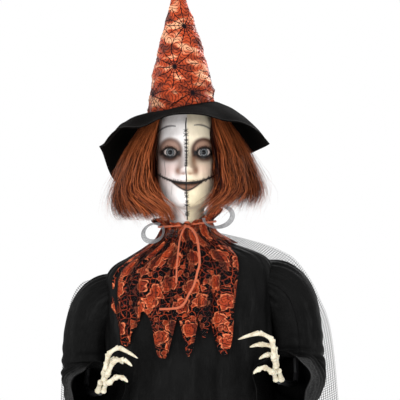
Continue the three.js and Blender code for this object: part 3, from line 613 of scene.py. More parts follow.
def face_depth(x, z):
    """How far the painted mask stands forward of the head's middle plane, in millimetres."""
    width = table(HEAD_ROWS, 1, z, 5)
    front = table(HEAD_ROWS, 2, z, 5)
    curve = np.sqrt(np.clip(1 - (x / width) ** 2, 0, 1))
    depth = front * curve
    side = np.abs(x)
    shape = -8 * bump(side, z, (33, 1333), (16, 14))
    shape += 2.5 * bump(side, z, (32, 1361), (16, 7))
    shape += 4.5 * bump(side, z, (41, 1301), (13, 13))
    shape += 2 * bump(x, z, (0, 1395), (30, 20))
    shape -= 2.5 * bump(x, z, (0, 1352), (12, 9))
    height, spread = table(NOSE, 1, z, 2.5), table(NOSE, 2, z, 2.5)
    shape += height * np.exp(-0.5 * (x / spread) ** 2)
    shape += 6.5 * bump(side, z, (12, 1297), (4.4, 5))
    shape -= 5 * bump(side, z, (6.2, 1289.5), (2.8, 2))
    shape -= 1.6 * bump(side, z, (22, 1288), (5, 9))
    rise = z - mouth_height(x)
    lips = smooth(36, 24, side)
    shape += 3 * bump(x, z, (0, 1266), (28, 19))
    shape += 2.6 * lips * ridge(rise - 3.2, 2.4)
    shape += 3.6 * lips * ridge(rise + 6.5, 4.6)
    shape -= 2.4 * ridge(rise, 1.1) * smooth(58, 44, side)
    shape -= 1.2 * bump(x, z, (0, 1279), (2.4, 5))
    shape += 5 * bump(x, z, (0, 1231), (14, 9))
    shape -= 2.4 * bump(x, z, (0, 1247), (15, 4))
    depth = depth + shape * smooth(0.05, 0.45, curve)
    away, u, v, upper, lower = eye_opening(x, z)
    ball = EYE_DEPTH + np.sqrt(np.clip((EYE_RADIUS + 1.3) ** 2 - u**2 - v**2, 0, None))
    lid = np.where(u**2 + v**2 < (EYE_RADIUS + 1.2) ** 2, ball, 0)
    depth = np.where(lid > 0, 1.2 * np.logaddexp(depth / 1.2, lid / 1.2), depth)
    depth = depth + 0.7 * ridge(away - 0.9, 0.8)
    crease = ridge(v - upper - 5.2, 1.0) * smooth(17, 9, np.abs(u))
    depth = depth - 1.3 * crease
    return depth + (50 - depth) * smooth(0.3, -1.0, away)


def on_face(x, z, lift=0.0):
    """Points on the mask at these places, raised by lift."""
    x, z = np.broadcast_arrays(np.asarray(x, float), np.asarray(z, float))
    step = 0.4
    slope_x = (face_depth(x + step, z) - face_depth(x - step, z)) / (2 * step)
    slope_z = (face_depth(x, z + step) - face_depth(x, z - step)) / (2 * step)
    normal = unit(np.stack([-slope_x, -np.ones_like(x), -slope_z], -1))
    points = np.stack([x, -face_depth(x, z), z], -1)
    return points + np.asarray(lift, float)[..., None] * normal


def blend_paint(under, over, share):
    return under + (np.asarray(over) - under) * share[..., None]


def face_paint(x, z):
    """The colours painted on the mask, with painted shade beside the nose, along the face's edges by the hair
    and under the jaw.
    """
    side = np.abs(x)
    left_half = smooth(1.5, -1.5, x)
    cream, white = np.array([0.93, 0.82, 0.62]), np.array([0.95, 0.91, 0.90])
    colour = blend_paint(np.broadcast_to(cream, x.shape + (3,)), white, left_half)
    layers = []
    low = smooth(1300, 1235, z)
    layers.append(((0.78, 0.68, 0.43), 0.55 * low * (1 - left_half)))
    # Pink beside the nose and on the outer cheeks: partly blush, partly painted shade.
    blush_and_shade = bump(side, z, (24, 1300), (14, 12)) + 0.8 * bump(side, z, (46, 1288), (11, 24))
    layers.append(((0.70, 0.38, 0.31), 0.42 * blush_and_shade))
    # Painted shadow of the hair: brown along the face's edges at the sides.
    layers.append(((0.5, 0.24, 0.14), 0.75 * smooth(46, 62, side) * smooth(1205, 1250, z)))
    # Painted shade between the eye and the nose, darker on the cream half.
    nose_side_shade = bump(side, z, (14, 1319), (5, 17))
    layers.append(((0.30, 0.13, 0.06), nose_side_shade * (0.45 + 0.45 * (1 - left_half))))
    # Painted shade beside and under the nostrils.
    nostril_shade = bump(side, z, (18, 1294), (4.5, 6)) + 0.8 * bump(side, z, (7, 1288.5), (5, 2))
    nostril_shade = np.clip(nostril_shade, 0, 1)
    layers.append(((0.26, 0.12, 0.07), 0.85 * nostril_shade))
    away, u, v, upper, lower = eye_opening(x, z)
    round_eye = np.sqrt((u / 25) ** 2 + ((v - 5) / 25) ** 2)
    shadow = smooth(1.12, 0.72, round_eye)
    layers.append(((0.36, 0.19, 0.13), 0.9 * shadow))
    rim = ridge(round_eye - 0.84, 0.17) * smooth(-22, 2, v)
    layers.append(((0.06, 0.02, 0.01), rim * (0.65 + 0.3 * (1 - left_half))))
    under = bump(u, v, (2, -11), (15, 6))
    layers.append(((0.06, 0.03, 0.024), 0.88 * np.clip(under, 0, 1)))
    lid = smooth(11, 3, away) * smooth(-2, 4, v) * smooth(14, 6, np.abs(u))
    layers.append(((0.42, 0.24, 0.18), 0.6 * lid))
    smoky = smooth(10.5, 2.5, away) * smooth(9, 0, v)
    layers.append(((0.018, 0.01, 0.009), 0.95 * smoky))
    liner = smooth(5.0, 2.6, away)
    layers.append(((0.008, 0.006, 0.006), liner))
    wing = ridge(v - 0.5 - 0.02 * u, 1.8) * smooth(34, 14, u) * smooth(10, 15, u)
    layers.append(((0.05, 0.025, 0.02), 0.75 * wing))
    for tone, share in layers:
        colour = blend_paint(colour, tone, share)
    colour = brow_paint(colour, x, z)
    colour = mouth_paint(colour, x, z)
    tear = ridge(x + 44 - 0.8 * np.sin(z / 6), 0.9) * smooth(1318, 1312, z) * smooth(1277, 1290, z)
    colour = blend_paint(colour, (0.12, 0.1, 0.1), 0.5 * tear)
    for place, top, bottom in ((-30.5, 1266, 1243), (47, 1300, 1284), (-49, 1262, 1240)):
        drip = ridge(x - place - 0.5 * np.sin(z / 5), 0.7) * smooth(top, top - 3, z)
        colour = blend_paint(colour, (0.15, 0.1, 0.09), 0.4 * drip * smooth(bottom, bottom + 9, z))
    # Painted shadow: a dark line along the jaw and a darker band under the chin.
    jaw_shadow_line = z - 1219 - 0.011 * x * x
    colour = blend_paint(colour, (0.36, 0.26, 0.22), 0.5 * ridge(jaw_shadow_line, 3.2) * smooth(58, 40, side))
    colour = blend_paint(colour, (0.5, 0.4, 0.36), 0.35 * smooth(1, -6, jaw_shadow_line) * smooth(6, 22, side))
    grime = smooth(0.2, 1.4, waves(x / 13, 5) * waves(z / 17, 6) + waves((x + z) / 9, 7) * 0.6)
    return blend_paint(colour, (0.5, 0.4, 0.3), 0.22 * grime)


def brow_paint(colour, x, z):
    side = np.abs(x)
    for mine, inner, outer, top, drop in ((x < 0, 22, 62, 1387, 17), (x > 0, 14, 57, 1389, 19)):
        along = np.clip((side - inner) / (outer - inner), 0, 1)
        height = top - 3.5 * (1 - along) ** 2 * 1.2 - drop * along**2.2
        thick = 0.9 + 1.1 * np.sin(math.pi * np.clip(along, 0.05, 0.95))
        line = ridge(z - height, thick) * (side > inner) * (side < outer) * mine
        colour = blend_paint(colour, (0.05, 0.045, 0.055), 0.92 * line)
    return colour


def mouth_paint(colour, x, z):
    side = np.abs(x)
    rise = z - mouth_height(x)
    top = 3.0 * np.clip(1 - (side / 38) ** 1.3, 0, 1) - 1.0 * ridge(x, 4)
    bottom = -16.5 * np.clip(1 - (side / 35) ** 1.2, 0, 1)
    inside = np.minimum(top - rise, rise - bottom)
    colour = blend_paint(colour, (0.25, 0.12, 0.07), 0.45 * smooth(-4.5, 0, inside))
    colour = blend_paint(colour, (0.012, 0.005, 0.004), smooth(-1.1, 0.5, inside))
    streaks = 0.7 + 0.3 * np.sin(x * 1.9 + waves(x / 3, 9))
    fill = smooth(1.6, 3.6, rise - bottom) * smooth(-1.4, -3.2, rise) * smooth(30, 20, side)
    colour = blend_paint(colour, (0.2, 0.085, 0.048), 0.9 * fill * streaks)
    shine = bump(side, z, (10, 1261), (6, 2))
    colour = blend_paint(colour, (0.36, 0.19, 0.12), 0.55 * shine * fill)
    line = ridge(rise, 1.4 + 0.8 * smooth(58, 30, side)) * smooth(61, 56, side)
    return blend_paint(colour, (0.008, 0.005, 0.005), line)


def mask_material():
    shader = Shader("painted_mask", roughness=0.42, specular_ior_level=0.45)
    place = shader.place()
    brush = shader.noise(shader.scaled(place, (1, 1, 0.4)), 130, 5, 0.6)
    shade = shader.mix(shader.clamp_range(brush, 0.3, 0.7), (0.93, 0.92, 0.91), (1.03, 1.03, 1.03))
    shader.tinted(shade)
    shader.set("Roughness", shader.clamp_range(shader.noise(place, 60, 4), 0.3, 0.7, 0.32, 0.52))
    shader.bumps(brush, 0.12, 0.6)
    shader.bumps(shader.noise(place, 1300, 2), 0.04, 0.5)
    return shader.material


def make_face():
    z, half_turn = grid(330, 270, (NECK_END, MASK_TOP), (-0.5, 0.5))
    x = table(HEAD_ROWS, 1, z, 5) * np.sin(half_turn * math.pi) * 0.9995
    y = -np.maximum(face_depth(x, z), 0.2)
    mesh = grid_mesh("face", np.stack([x, y, z], -1), colours=face_paint(x, z))
    make_object("mask_face", mesh, mask_material(), "head", "face_mask")


def thread_material():
    shader = Shader("black_thread", roughness=0.6)
    place = shader.place()
    ply = shader.noise(place, 2500, 2)
    shader.set("Base Color", shader.mix(ply, (0.006, 0.005, 0.005), (0.03, 0.024, 0.022)))
    shader.bumps(ply, 0.15, 0.8)
    return shader.material


def seam_middle(z):
    """The centre seam wanders a little from side to side."""
    wander = 1.1 * waves(np.asarray(z) / 26, 3)
    return -1.2 + wander + 2.6 * smooth(1262, 1225, z) - 0.8 * smooth(1310, 1296, z)


def make_stitches():
    """The thread of the centre seam and the smile, with stitches across both."""
    thread = Heap()
    z = np.linspace(1399, 1196, 150)
    thread.tube(on_face(seam_middle(z), z, 0.35), 1.15, 6)
    local = np.random.default_rng(8)
    for height in SEAM_STITCHES:
        reach = local.uniform(4.0, 6.4) * (0.7 if 1300 < height < 1330 else 1)
        for way in (1, -1):
            across = np.linspace(-reach, reach, 7)
            tilt = way * local.uniform(0.35, 0.75)
            points = on_face(seam_middle(height) + across, height + tilt * across, 0.7)
            thread.tube(points, 0.95 * (1.1 - np.abs(across) / reach) ** 0.7, 5)
    x = np.linspace(-SMILE_END, SMILE_END, 110)
    rough = 0.45 * waves(x / 1.9, 14)
    thickness = 0.9 + 0.7 * (1 - (np.abs(x) / SMILE_END) ** 2) + rough
    thread.tube(on_face(x, mouth_height(x) + rough, 0.3), thickness, 6)
    places = np.arange(12, SMILE_END, 4.6)
    for place in np.concatenate([-places, places]):
        reach = local.uniform(3.2, 6.4)
        up = np.linspace(-reach, reach, 7)
        lean = local.uniform(-0.6, 0.6)
        points = on_face(place + lean * up, mouth_height(place) + up, 0.5)
        thread.tube(points, 1.1 * (1.15 - np.abs(up) / reach) ** 0.7, 5)
    mesh = thread.mesh("stitching")
    make_object("mask_stitching", mesh, thread_material(), "head", "face_mask")


def make_lashes():
    """Lashes that lie along the mask from the rims of both lids."""
    lashes = Heap()
    local = np.random.default_rng(12)
    for side in (-1, 1):
        for upper_lid, count, length in ((True, 15, 7.5), (False, 11, 4.2)):
            for u in np.linspace(-12.5, 14.2, count):
                _, _, _, upper, lower = eye_opening(np.array(EYE[0] + u), np.array(EYE[1] + 0.0))
                start_z = EYE[1] + (float(upper) + 0.6 if upper_lid else float(lower) - 0.8)
                size = length * local.uniform(0.75, 1.1)
                lean = 0.7 * u / 15 + local.uniform(-0.12, 0.12)
                t = np.linspace(0, 1, 6)
                rise = 1 if upper_lid else -1
                beside = side * (EYE[0] + u + lean * size * t)
                points = on_face(beside, start_z + rise * size * t, 0.4 + 2.4 * t)
                lashes.tube(points, 0.62 * (1.08 - t), 4)
    make_object("eyelashes", lashes.mesh("lashes"), thread_material(), "head", "face_mask")


def eye_material():
    shader = Shader("glass_eye", roughness=0.07, specular_ior_level=0.14)
    shader.set("Base Color", shader.paint())
    shader.bumps(shader.noise(shader.place(), 700, 2), 0.01, 0.3)
    return shader.material


def make_eyes():
    """Domes painted with an iris of fine rays and a dark outer ring."""
    material = eye_material()
    polar, around = grid(90, 128, (0.0005, 2.1), (0, TAU), ring=True)
    iris_angle, pupil_angle = 0.68, 0.34
    local = np.random.default_rng(4)
    rays = 0
    for count in (9, 14, 23, 31, 44):
        strength = local.uniform(0.4, 1)
        rays = rays + strength * np.sin(count * around + local.uniform(0, TAU))
    rays = rays / 4
    white = np.array([0.62, 0.56, 0.53])
    colour = np.broadcast_to(white, polar.shape + (3,))
    colour = blend_paint(colour, (0.45, 0.3, 0.27), 0.5 * smooth(0.75, 1.15, polar))
    inner = smooth(iris_angle, iris_angle - 0.05, polar)
    grey = np.array([0.15, 0.158, 0.165]) * (1 + 1.6 * rays[..., None])
    colour = colour + (grey - colour) * inner[..., None]
    halo = smooth(pupil_angle + 0.12, pupil_angle, polar)
    colour = blend_paint(colour, (0.03, 0.035, 0.04), 0.6 * halo * inner)
    ring = ridge(polar - iris_angle + 0.03, 0.075)
    colour = blend_paint(colour, (0.012, 0.016, 0.022), 0.95 * ring)
    colour = blend_paint(colour, (0.003, 0.003, 0.004), smooth(pupil_angle + 0.02, pupil_angle - 0.02, polar))
    cornea = 1 + 0.012 * smooth(0.8, 0.0, polar)
    reach = EYE_RADIUS * cornea
    away = reach * np.sin(polar)
    ball = np.stack([away * np.cos(around), -reach * np.cos(polar), away * np.sin(around)], -1)
    for side, name in ((1, "left"), (-1, "right")):
        centre = np.array([side * EYE[0], -EYE_DEPTH, EYE[1]])
        mesh = grid_mesh("eye", ball + centre, ring=True, colours=colour)
        make_object("glass_eye_" + name, mesh, material, "head", "eye_" + name)


# ---------------------------------------------------------------- wig

# Height, and how far out the hair reaches there: beside the head, and at the face's edge
HAIR_SIDE = [(1195, 134), (1215, 148), (1240, 153), (1280, 144), (1330, 126), (1370, 104), (1400, 84),
             (1420, 74)]
HAIR_EDGE = [(1195, 60), (1215, 72), (1240, 84), (1280, 92), (1330, 92), (1370, 86), (1400, 80), (1420, 70)]
HAIR_FACE_ANGLE = 0.9
HAIR_ROOT = 1414
HAIR_LOWEST = 1195
HAIR_PARTS = 6
LOCKS_PER_RADIAN = 17
HAIR_TONES = [(0.016, 0.002, 0.001), (0.055, 0.008, 0.002), (0.13, 0.023, 0.005), (0.46, 0.12, 0.038)]


def hair_reach(angle, height):
    """Distance of the hair's outside from the upright line through the head."""
    share = np.sin(angle) ** 2
    share = np.where(np.cos(angle) < 0, 0.35 + 0.65 * share, share)
    return table(HAIR_EDGE, 1, height, 6) * (1 - share) + table(HAIR_SIDE, 1, height, 6) * share


def hair_hem(angle):
    """The hair ends higher on the figure's left than on its right."""
    side = np.sin(angle)
    return 1214 + 12 * side + 5 * waves(angle * 5, 21)


def hair_material():
    shader = Shader("auburn_hair", roughness=0.5, specular_ior_level=0.16)
    place = shader.place()
    streak = shader.noise(shader.scaled(place, (1, 1, 0.12)), 420, 3, 0.6)
    shade = shader.mix(streak, (0.55, 0.5, 0.5), (1.35, 1.4, 1.4))
    shader.tinted(shade)
    shader.bumps(streak, 0.15, 0.5)
    return shader.material


def hair_locks(local, count):
    """Roots of hair, where each one ends, and how far inside the bob it lies."""
    angle = HAIR_FACE_ANGLE + (TAU - 2 * HAIR_FACE_ANGLE) * local.uniform(0, 1, count)
    near_face = local.uniform(0, 1, count) < 0.38
    side = np.where(local.uniform(0, 1, count) < 0.5, -1, 1)
    forward = HAIR_FACE_ANGLE - np.where(side > 0, 0.25, 0.08) + local.uniform(0, 1, count) ** 1.4 * 0.8
    angle = np.where(near_face, side * forward, angle)
    depth = local.uniform(0, 1, count) ** 1.6
    return np.angle(np.exp(1j * angle)), depth


def hair_path(local, angle, depth, steps=15):
    """Points down one strand: out from under the brim, down the side, in at the end."""
    t = np.linspace(0, 1, steps)
    clump = np.round(angle * LOCKS_PER_RADIAN) / LOCKS_PER_RADIAN
    lock = np.random.default_rng(1680 + round(angle * LOCKS_PER_RADIAN))
    ragged = 8 * lock.standard_normal() + 13 * abs(local.standard_normal()) - 8
    hem = hair_hem(angle) + ragged + 16 * depth
    hem = hem - 18 * smooth(1.5, 0.9, abs(angle)) * (1 if angle < 0 else 0.1)
    hem = max(hem, HAIR_LOWEST)
    root = HAIR_ROOT - 8 * local.uniform() - 10 * math.cos(angle) * (math.cos(angle) > 0)
    height = root + (hem - root) * t
    gather = 0.42 * smooth(0.15, 0.9, t) * (clump - angle)
    drift = 0.05 * waves(t * 3 + local.uniform(0, 9), int(local.integers(99)), 2) * t
    stray = lock.standard_normal()
    drift = drift + (0.16 * stray * t**2 if abs(angle) > 1.1 else 0.04 * stray * t)
    face_side = smooth(1.25, 0.9, abs(angle))
    tuck = 0.38 if angle < 0 else 0.28
    pull = tuck * smooth(1262, 1200, height) - 0.05 * smooth(1390, 1330, height)
    inward = np.sign(angle) * face_side * pull
    turn = angle + gather + drift - inward
    reach = hair_reach(turn, height) - (3 + 22 * depth) * smooth(0, 0.3, t)
    reach = reach * (1 + 0.05 * lock.standard_normal() * t + 0.045 * local.standard_normal() * t)
    reach = reach + 2.5 * waves(t * 4 + angle * 9, 33, 3) * t
    turn = turn + 0.09 * t * waves(t * local.uniform(3, 7) + local.uniform(0, 9), int(local.integers(50)), 3)
    spill = smooth(0.2, -0.6, math.sin(angle))
    curl = smooth(0.8, 1.0, t) * (9 + 12 * lock.uniform()) * (0.4 + 0.6 * abs(math.sin(angle)))
    reach = reach - curl * (1 - 1.3 * spill)
    return np.stack([reach * np.sin(turn), -reach * np.cos(turn), height], 1)


def ribbon_strand(path, width, facing):
    """A flat strand three corners wide, creased along its middle, that narrows to a point."""
    along = unit(np.gradient(path, axis=0))
    across = unit(np.cross(along, facing))
    t = np.linspace(0, 1, len(path))
    half = width * (0.55 + 0.45 * smooth(0, 0.2, t)) * (1 - t**3.5 * 0.94)
    ridge = np.cross(across, along) * (0.35 * half)[:, None]
    return np.stack([path - across * half[:, None], path + ridge, path + across * half[:, None]], 1)


def make_wig():
    """Thousands of flat strands in locks, in several pieces so that no mesh is too large."""
    material = hair_material()
    local = np.random.default_rng(77)
    tones = np.array(HAIR_TONES)
    total = 6600
    for part in range(HAIR_PARTS):
        heap = Heap()
        angles, depths = hair_locks(local, total // HAIR_PARTS)
        for angle, depth in zip(angles, depths):
            path = hair_path(local, angle, depth)
            facing = path * [1, 1, 0] + 25 * local.standard_normal(3)
            width = local.uniform(0.5, 1.15) * 1
            strand = ribbon_strand(path, width, unit(facing))
            # Painted shade: strands deeper inside the bob are darker, and each strand is darker at its root
            # under the brim than at its tip.
            lightness = int(local.uniform(0, 1) * 3.4 + 0.5 * (1 - depth))
            tone = tones[min(3, lightness)] * local.uniform(0.75, 1.2)
            lock_tone = 0.6 + 0.7 * np.random.default_rng(round(angle * LOCKS_PER_RADIAN) + 900).uniform()
            along = 0.75 + 0.75 * np.repeat(np.linspace(0, 1, len(path)) ** 1.5, 3)[:, None]
            heap.take(strand, grid_faces(len(path), 3), tone * (1 - 0.5 * depth) * lock_tone * along)
        make_object(f"wig_hair_{part + 1}", heap.mesh("hair"), material, "head", "wig")
    make_wig_cap(material)
    make_stray_hairs(material)


def make_wig_cap(material):
    """The layer the hair is sewn to, seen only between strands."""
    edge = HAIR_FACE_ANGLE + 0.12
    t, turn = grid(40, 120, (0, 1), (edge, TAU - edge))
    low = hair_hem(turn) + 26
    height = HAIR_ROOT - 6 + (low - HAIR_ROOT + 6) * t
    reach = hair_reach(turn, height) - 26 + 1.5 * np.sin(turn * 60)
    reach = np.maximum(reach, 76)
    points = np.stack([reach * np.sin(turn), -reach * np.cos(turn), height], -1)
    colours = np.broadcast_to([0.06, 0.012, 0.004], points.shape)
    mesh = grid_mesh("cap", points, colours=colours)
    cap = make_object("wig_cap", mesh, material, "head", "wig")
    thicken(cap, 1.0)


def make_stray_hairs(material):
    """Thin flyaway hairs round the outside, and the wisps that cross under the chin."""
    heap = Heap()
    local = np.random.default_rng(5)
    for _ in range(900):
        angle = local.choice([-1, 1]) * local.uniform(0.72, 2.3)
        path = hair_path(local, angle, -0.02 - 0.22 * local.uniform())
        t = np.linspace(0, 1, len(path))
        swing = local.standard_normal(3) * np.array([13, 7, 9])
        path = path + swing[None, :] * (t**2)[:, None]
        path[:, 0] += 7 * t * waves(t * 7 + local.uniform(0, 9), int(local.integers(50)), 3)
        path[:, 1] -= 1.5
        tone = np.array([0.42, 0.11, 0.035]) * local.uniform(0.06, 1.6)
        heap.take(ribbon_strand(path, 0.55, unit(path * [1, 1, 0])), grid_faces(len(path), 3), tone)
    for _ in range(64):
        side = local.choice([-1, 1], p=[0.62, 0.38])
        beside, forward, high = local.uniform(54, 66), local.uniform(-4, 10), local.uniform(-18, 26)
        start = np.array([side * beside, -76 + forward, 1256 + high])
        beside, forward, high = local.uniform(16, 52), local.uniform(-12, 4), local.uniform(-8, 26)
        end = np.array([side * beside, -74 + forward, 1204 + high])
        middle = (start + end) / 2 + np.array([side * local.uniform(-2, 10), -8, local.uniform(-10, 4)])
        path = spline([start, middle, end], 12)
        tone = np.array([0.30, 0.07, 0.022]) * local.uniform(0.5, 1.3)
        heap.take(ribbon_strand(path, 0.24, unit(path * [1, 1, 0])), grid_faces(12, 3), tone)
    make_object("wig_stray_hairs", heap.mesh("stray"), material, "head", "wig")


# ---------------------------------------------------------------- hat

HAT = {"x": -12, "y": 5, "z": 1422, "half_width": 69, "half_depth": 83, "tip": (-20, 22, 1704), "slope": 0.2}
CROWN_FLAT = (0.49, 0.29)
WEB_CELL = 0.078
WEB_SPOKES = 13
WEB_RING_GAP = 0.0085


def hat_plane(x):
    return HAT["z"] + HAT["slope"] * (x - HAT["x"])


def web_lines(shader, vector, cell):
    """Spider webs: spokes from scattered middles with sagging threads between them."""
    angle, length = shader.around_middles(vector, cell, 0.7)
    turn = shader.fraction(shader.times(shader.math("ADD", angle, math.pi), WEB_SPOKES / TAU))
    off = shader.less(0.5, shader.size(shader.less(turn, 0.5)))
    from_spoke = shader.times(off, shader.times(length, TAU / WEB_SPOKES))
    spoke = shader.clamp_range(from_spoke, 0.0012, 0.0007)
    sag = shader.math("MULTIPLY_ADD", shader.sine(shader.times(off, math.pi)), 0.24, 0.95)
    rings = shader.fraction(shader.math("DIVIDE", shader.times(length, sag), WEB_RING_GAP))
    thread = shader.clamp_range(shader.size(shader.less(rings, 0.5)), 0.12, 0.07)
    hub = shader.clamp_range(length, 0.006, 0.003)
    return shader.larger(shader.larger(spoke, thread), hub)


def crown_material():
    """Metallic orange cloth printed with black webs, with painted highlights and painted shade."""
    shader = Shader("orange_lame_with_webs", specular_ior_level=0.15)
    uv = shader.uv()
    webs = web_lines(shader, shader.moved_about(uv, 0.008, 40.0, 1.0), WEB_CELL)
    foil = shader.noise(uv, 900, 2, 0.6)
    # Painted shade and highlights: darker where the crease noise is low, with broad bright peach patches as
    # painted highlights.
    crease = shader.noise(shader.scaled(uv, (0.6, 1.3, 1)), 34, 2, 0.5)
    shade = shader.mix(shader.clamp_range(crease, 0.36, 0.52), (0.13, 0.007, 0.004), (0.56, 0.06, 0.014))
    patch = shader.noise(uv, 11, 2, 0.5)
    lit = shader.math("MULTIPLY_ADD", shader.less(patch, 0.5), 0.55, crease)
    bright = shader.clamp_range(lit, 0.5, 0.64)
    cloth = shader.mix(bright, shade, (1.0, 0.48, 0.27))
    cloth = shader.mix(shader.clamp_range(foil, 0.4, 0.7, 0.0, 0.22), cloth, (1.0, 0.36, 0.15))
    # Painted shade: the cloth darkens towards the crown's base.
    low = shader.clamp_range(shader.parts(uv)[1], 0.0, 0.09, 0.62, 1.0)
    cloth = shader.mix(1.0, cloth, low, "MULTIPLY")
    shader.set("Base Color", shader.mix(webs, cloth, (0.004, 0.001, 0.003)))
    shader.set("Metallic", shader.clamp_range(webs, 0.2, 0.8, 0.5, 0.0))
    shader.set("Roughness", shader.clamp_range(webs, 0.2, 0.8, 0.4, 0.8))
    shader.bumps(foil, 0.15, 0.5)
    shader.bumps(crease, 3.0, 0.8)
    shader.bumps(webs, 0.12, 0.5)
    return shader.material


def crown_point(turn, v):
    """A point on the crumpled cone of the hat: v is 0 at its base and 1 at its tip."""
    belly = 5.5 * np.sin(math.pi * np.minimum(1, 1.3 * v))
    base_x = HAT["x"] + HAT["half_width"] * np.sin(turn)
    x = base_x + (HAT["tip"][0] - base_x) * v + belly * np.sin(turn)
    y = HAT["y"] - HAT["half_depth"] * np.cos(turn)
    y = y + (HAT["tip"][1] - y) * v - belly * np.cos(turn)
    z = hat_plane(base_x)
    z = z + (HAT["tip"][2] - z) * v
    size = 2.3 * (1 - v) ** 0.6
    folds = waves(turn * 3 + 26 * v + 1.5 * waves(9 * v, 2), 51) + waves(34 * v - 2 * np.sin(turn * 2), 52)
    folds = folds + 0.6 * waves(turn * 7 - 40 * v, 53) + 0.8 * np.exp(-v * 16) * np.sin(turn * 17)
    return x + size * folds * np.sin(turn), y - size * folds * np.cos(turn), z


def make_crown():
    v, turn = grid(300, 340, (0.0, 0.992), (-math.pi, math.pi))
    hem, slant = CROWN_FLAT
    spread = 0.5 * hem * turn / math.pi * (1 - v)
    uv = np.stack([spread + 0.019, slant * v + 0.2 * spread + 0.004], -1)
    mesh = grid_mesh("crown", np.stack(crown_point(turn, v), -1), uv=uv)
    crown = make_object("hat_crown_cloth", mesh, crown_material(), "head", "hat_crown")
    thicken(crown, 1.2)


# How far each side of the brim reaches beyond the crown, and how far its edge hangs
BRIM_REACH = {"front": (142, 20), "left": (106, 88), "rear": (72, 146), "right": (84, 66)}
# Share of the brim's drop at each share of its reach, on the figure's right and everywhere else
BRIM_FALL = [(0, 0, 0), (0.25, 0.09, 0.15), (0.49, 0.27, 0.38), (0.77, 0.8, 0.7), (0.9, 0.94, 0.88),
             (1, 1, 1)]
BRIM_STITCH_ROW = 0.955


def brim_point(turn, v):
    """A point on the brim: v is 0 at the crown and 1 at the edge."""
    ahead, beside = np.cos(turn), np.sin(turn)
    along_y = [np.where(ahead > 0, BRIM_REACH["front"][k], BRIM_REACH["rear"][k]) for k in (0, 1)]
    along_x = [np.where(beside > 0, BRIM_REACH["left"][k], BRIM_REACH["right"][k]) for k in (0, 1)]
    reach = along_y[0] * ahead**2 + along_x[0] * beside**2
    drop = along_y[1] * ahead**2 + along_x[1] * beside**2
    hang = ridge(turn + 2.2, 0.42)
    tip = np.exp(-np.abs(turn + 1.5) / 0.13)
    dip = 17 * ridge(turn + 0.36, 0.2) + 8 * ridge(turn - 0.42, 0.16)
    reach = reach + 12 * hang + 9 * tip
    drop = drop + 46 * hang - 8 * tip + dip
    bend = v * math.pi / 2
    out = 1.5 + (reach + 2.5) * (0.3 * np.sin(bend) + 0.7 * v)
    right_side = smooth(0.2, -0.8, beside)
    fall = table(BRIM_FALL, 1, v, 0.05) * right_side + table(BRIM_FALL, 2, v, 0.05) * (1 - right_side)
    x = HAT["x"] + (HAT["half_width"] + out) * beside
    y = HAT["y"] - (HAT["half_depth"] + out) * ahead
    z = HAT["z"] + HAT["slope"] * (HAT["half_width"] + 4) * beside - drop * fall
    sway = (3.4 * waves(turn * 2.2, 61, 3) + 1.6 * waves(turn * 6, 62, 2)) * v**2
    return x, y, z + sway - 1.0


def felt_material():
    shader = Shader("black_felt", roughness=0.95, specular_ior_level=0.03)
    place = shader.place()
    fuzz = shader.noise(place, 900, 6, 0.75)
    worn = shader.clamp_range(shader.noise(place, 22, 4, 0.6), 0.45, 0.75)
    dark = shader.mix(fuzz, (0.0008, 0.0007, 0.0007), (0.005, 0.0043, 0.004))
    dusty = shader.mix(fuzz, (0.002, 0.0016, 0.0016), (0.011, 0.009, 0.008))
    shader.set("Base Color", shader.mix(worn, dark, dusty))
    shader.bumps(shader.noise(place, 2600, 3), 0.5, 0.7)
    shader.bumps(shader.noise(place, 160, 5), 0.9, 0.5)
    return shader.material


def make_brim():
    columns = 420
    v, turn = grid(70, columns, (0, 1), (-math.pi, math.pi), ring=True)
    points = np.stack(brim_point(turn, v), -1)
    mesh = grid_mesh("brim", points, ring=True)
    brim = make_object("hat_brim_felt", mesh, felt_material(), "head", "hat_brim")
    thicken(brim, 2.2)
    thread = Heap()
    for start in np.linspace(-math.pi, math.pi, 250, endpoint=False):
        turn = start + np.linspace(0, 0.016, 4)
        path = np.stack(brim_point(turn, np.full(4, BRIM_STITCH_ROW)), -1) + [0, 0, 1.3]
        thread.tube(path, 0.4, 5)
    mesh = thread.mesh("brim_thread")
    make_object("hat_brim_stitching", mesh, thread_material(), "head", "hat_brim")


# ---------------------------------------------------------------- robe, sleeves and their cloth

# Height, half width, depth to the front and depth to the rear
ROBE_ROWS = [
    (1158, 58, 50, 50),
    (1140, 84, 58, 60),
    (1118, 128, 70, 74),
    (1096, 150, 78, 82),
    (1050, 152, 84, 88),
    (900, 148, 92, 94),
    (745, 150, 108, 108),
    (600, 182, 132, 134),
    (400, 214, 164, 166),
    (200, 236, 190, 192),
    (32, 250, 204, 206),
]
ROBE_TOP, ROBE_LENGTH = 1162, 1130


def robe_point(turn, height, out, blur=14):
    """A point on the robe: turn is 0 at the front and grows to the figure's left."""
    width = table(ROBE_ROWS, 1, height, blur) + out
    front = table(ROBE_ROWS, 2, height, blur) + out
    rear = table(ROBE_ROWS, 3, height, blur) + out
    depth = np.where(np.cos(turn) > 0, front, rear)
    tilt = 0.075 * np.clip((height - 700) / 300, 0, 1)
    x = 5 + width * np.sin(turn)
    return x, -depth * np.cos(turn), height + tilt * x


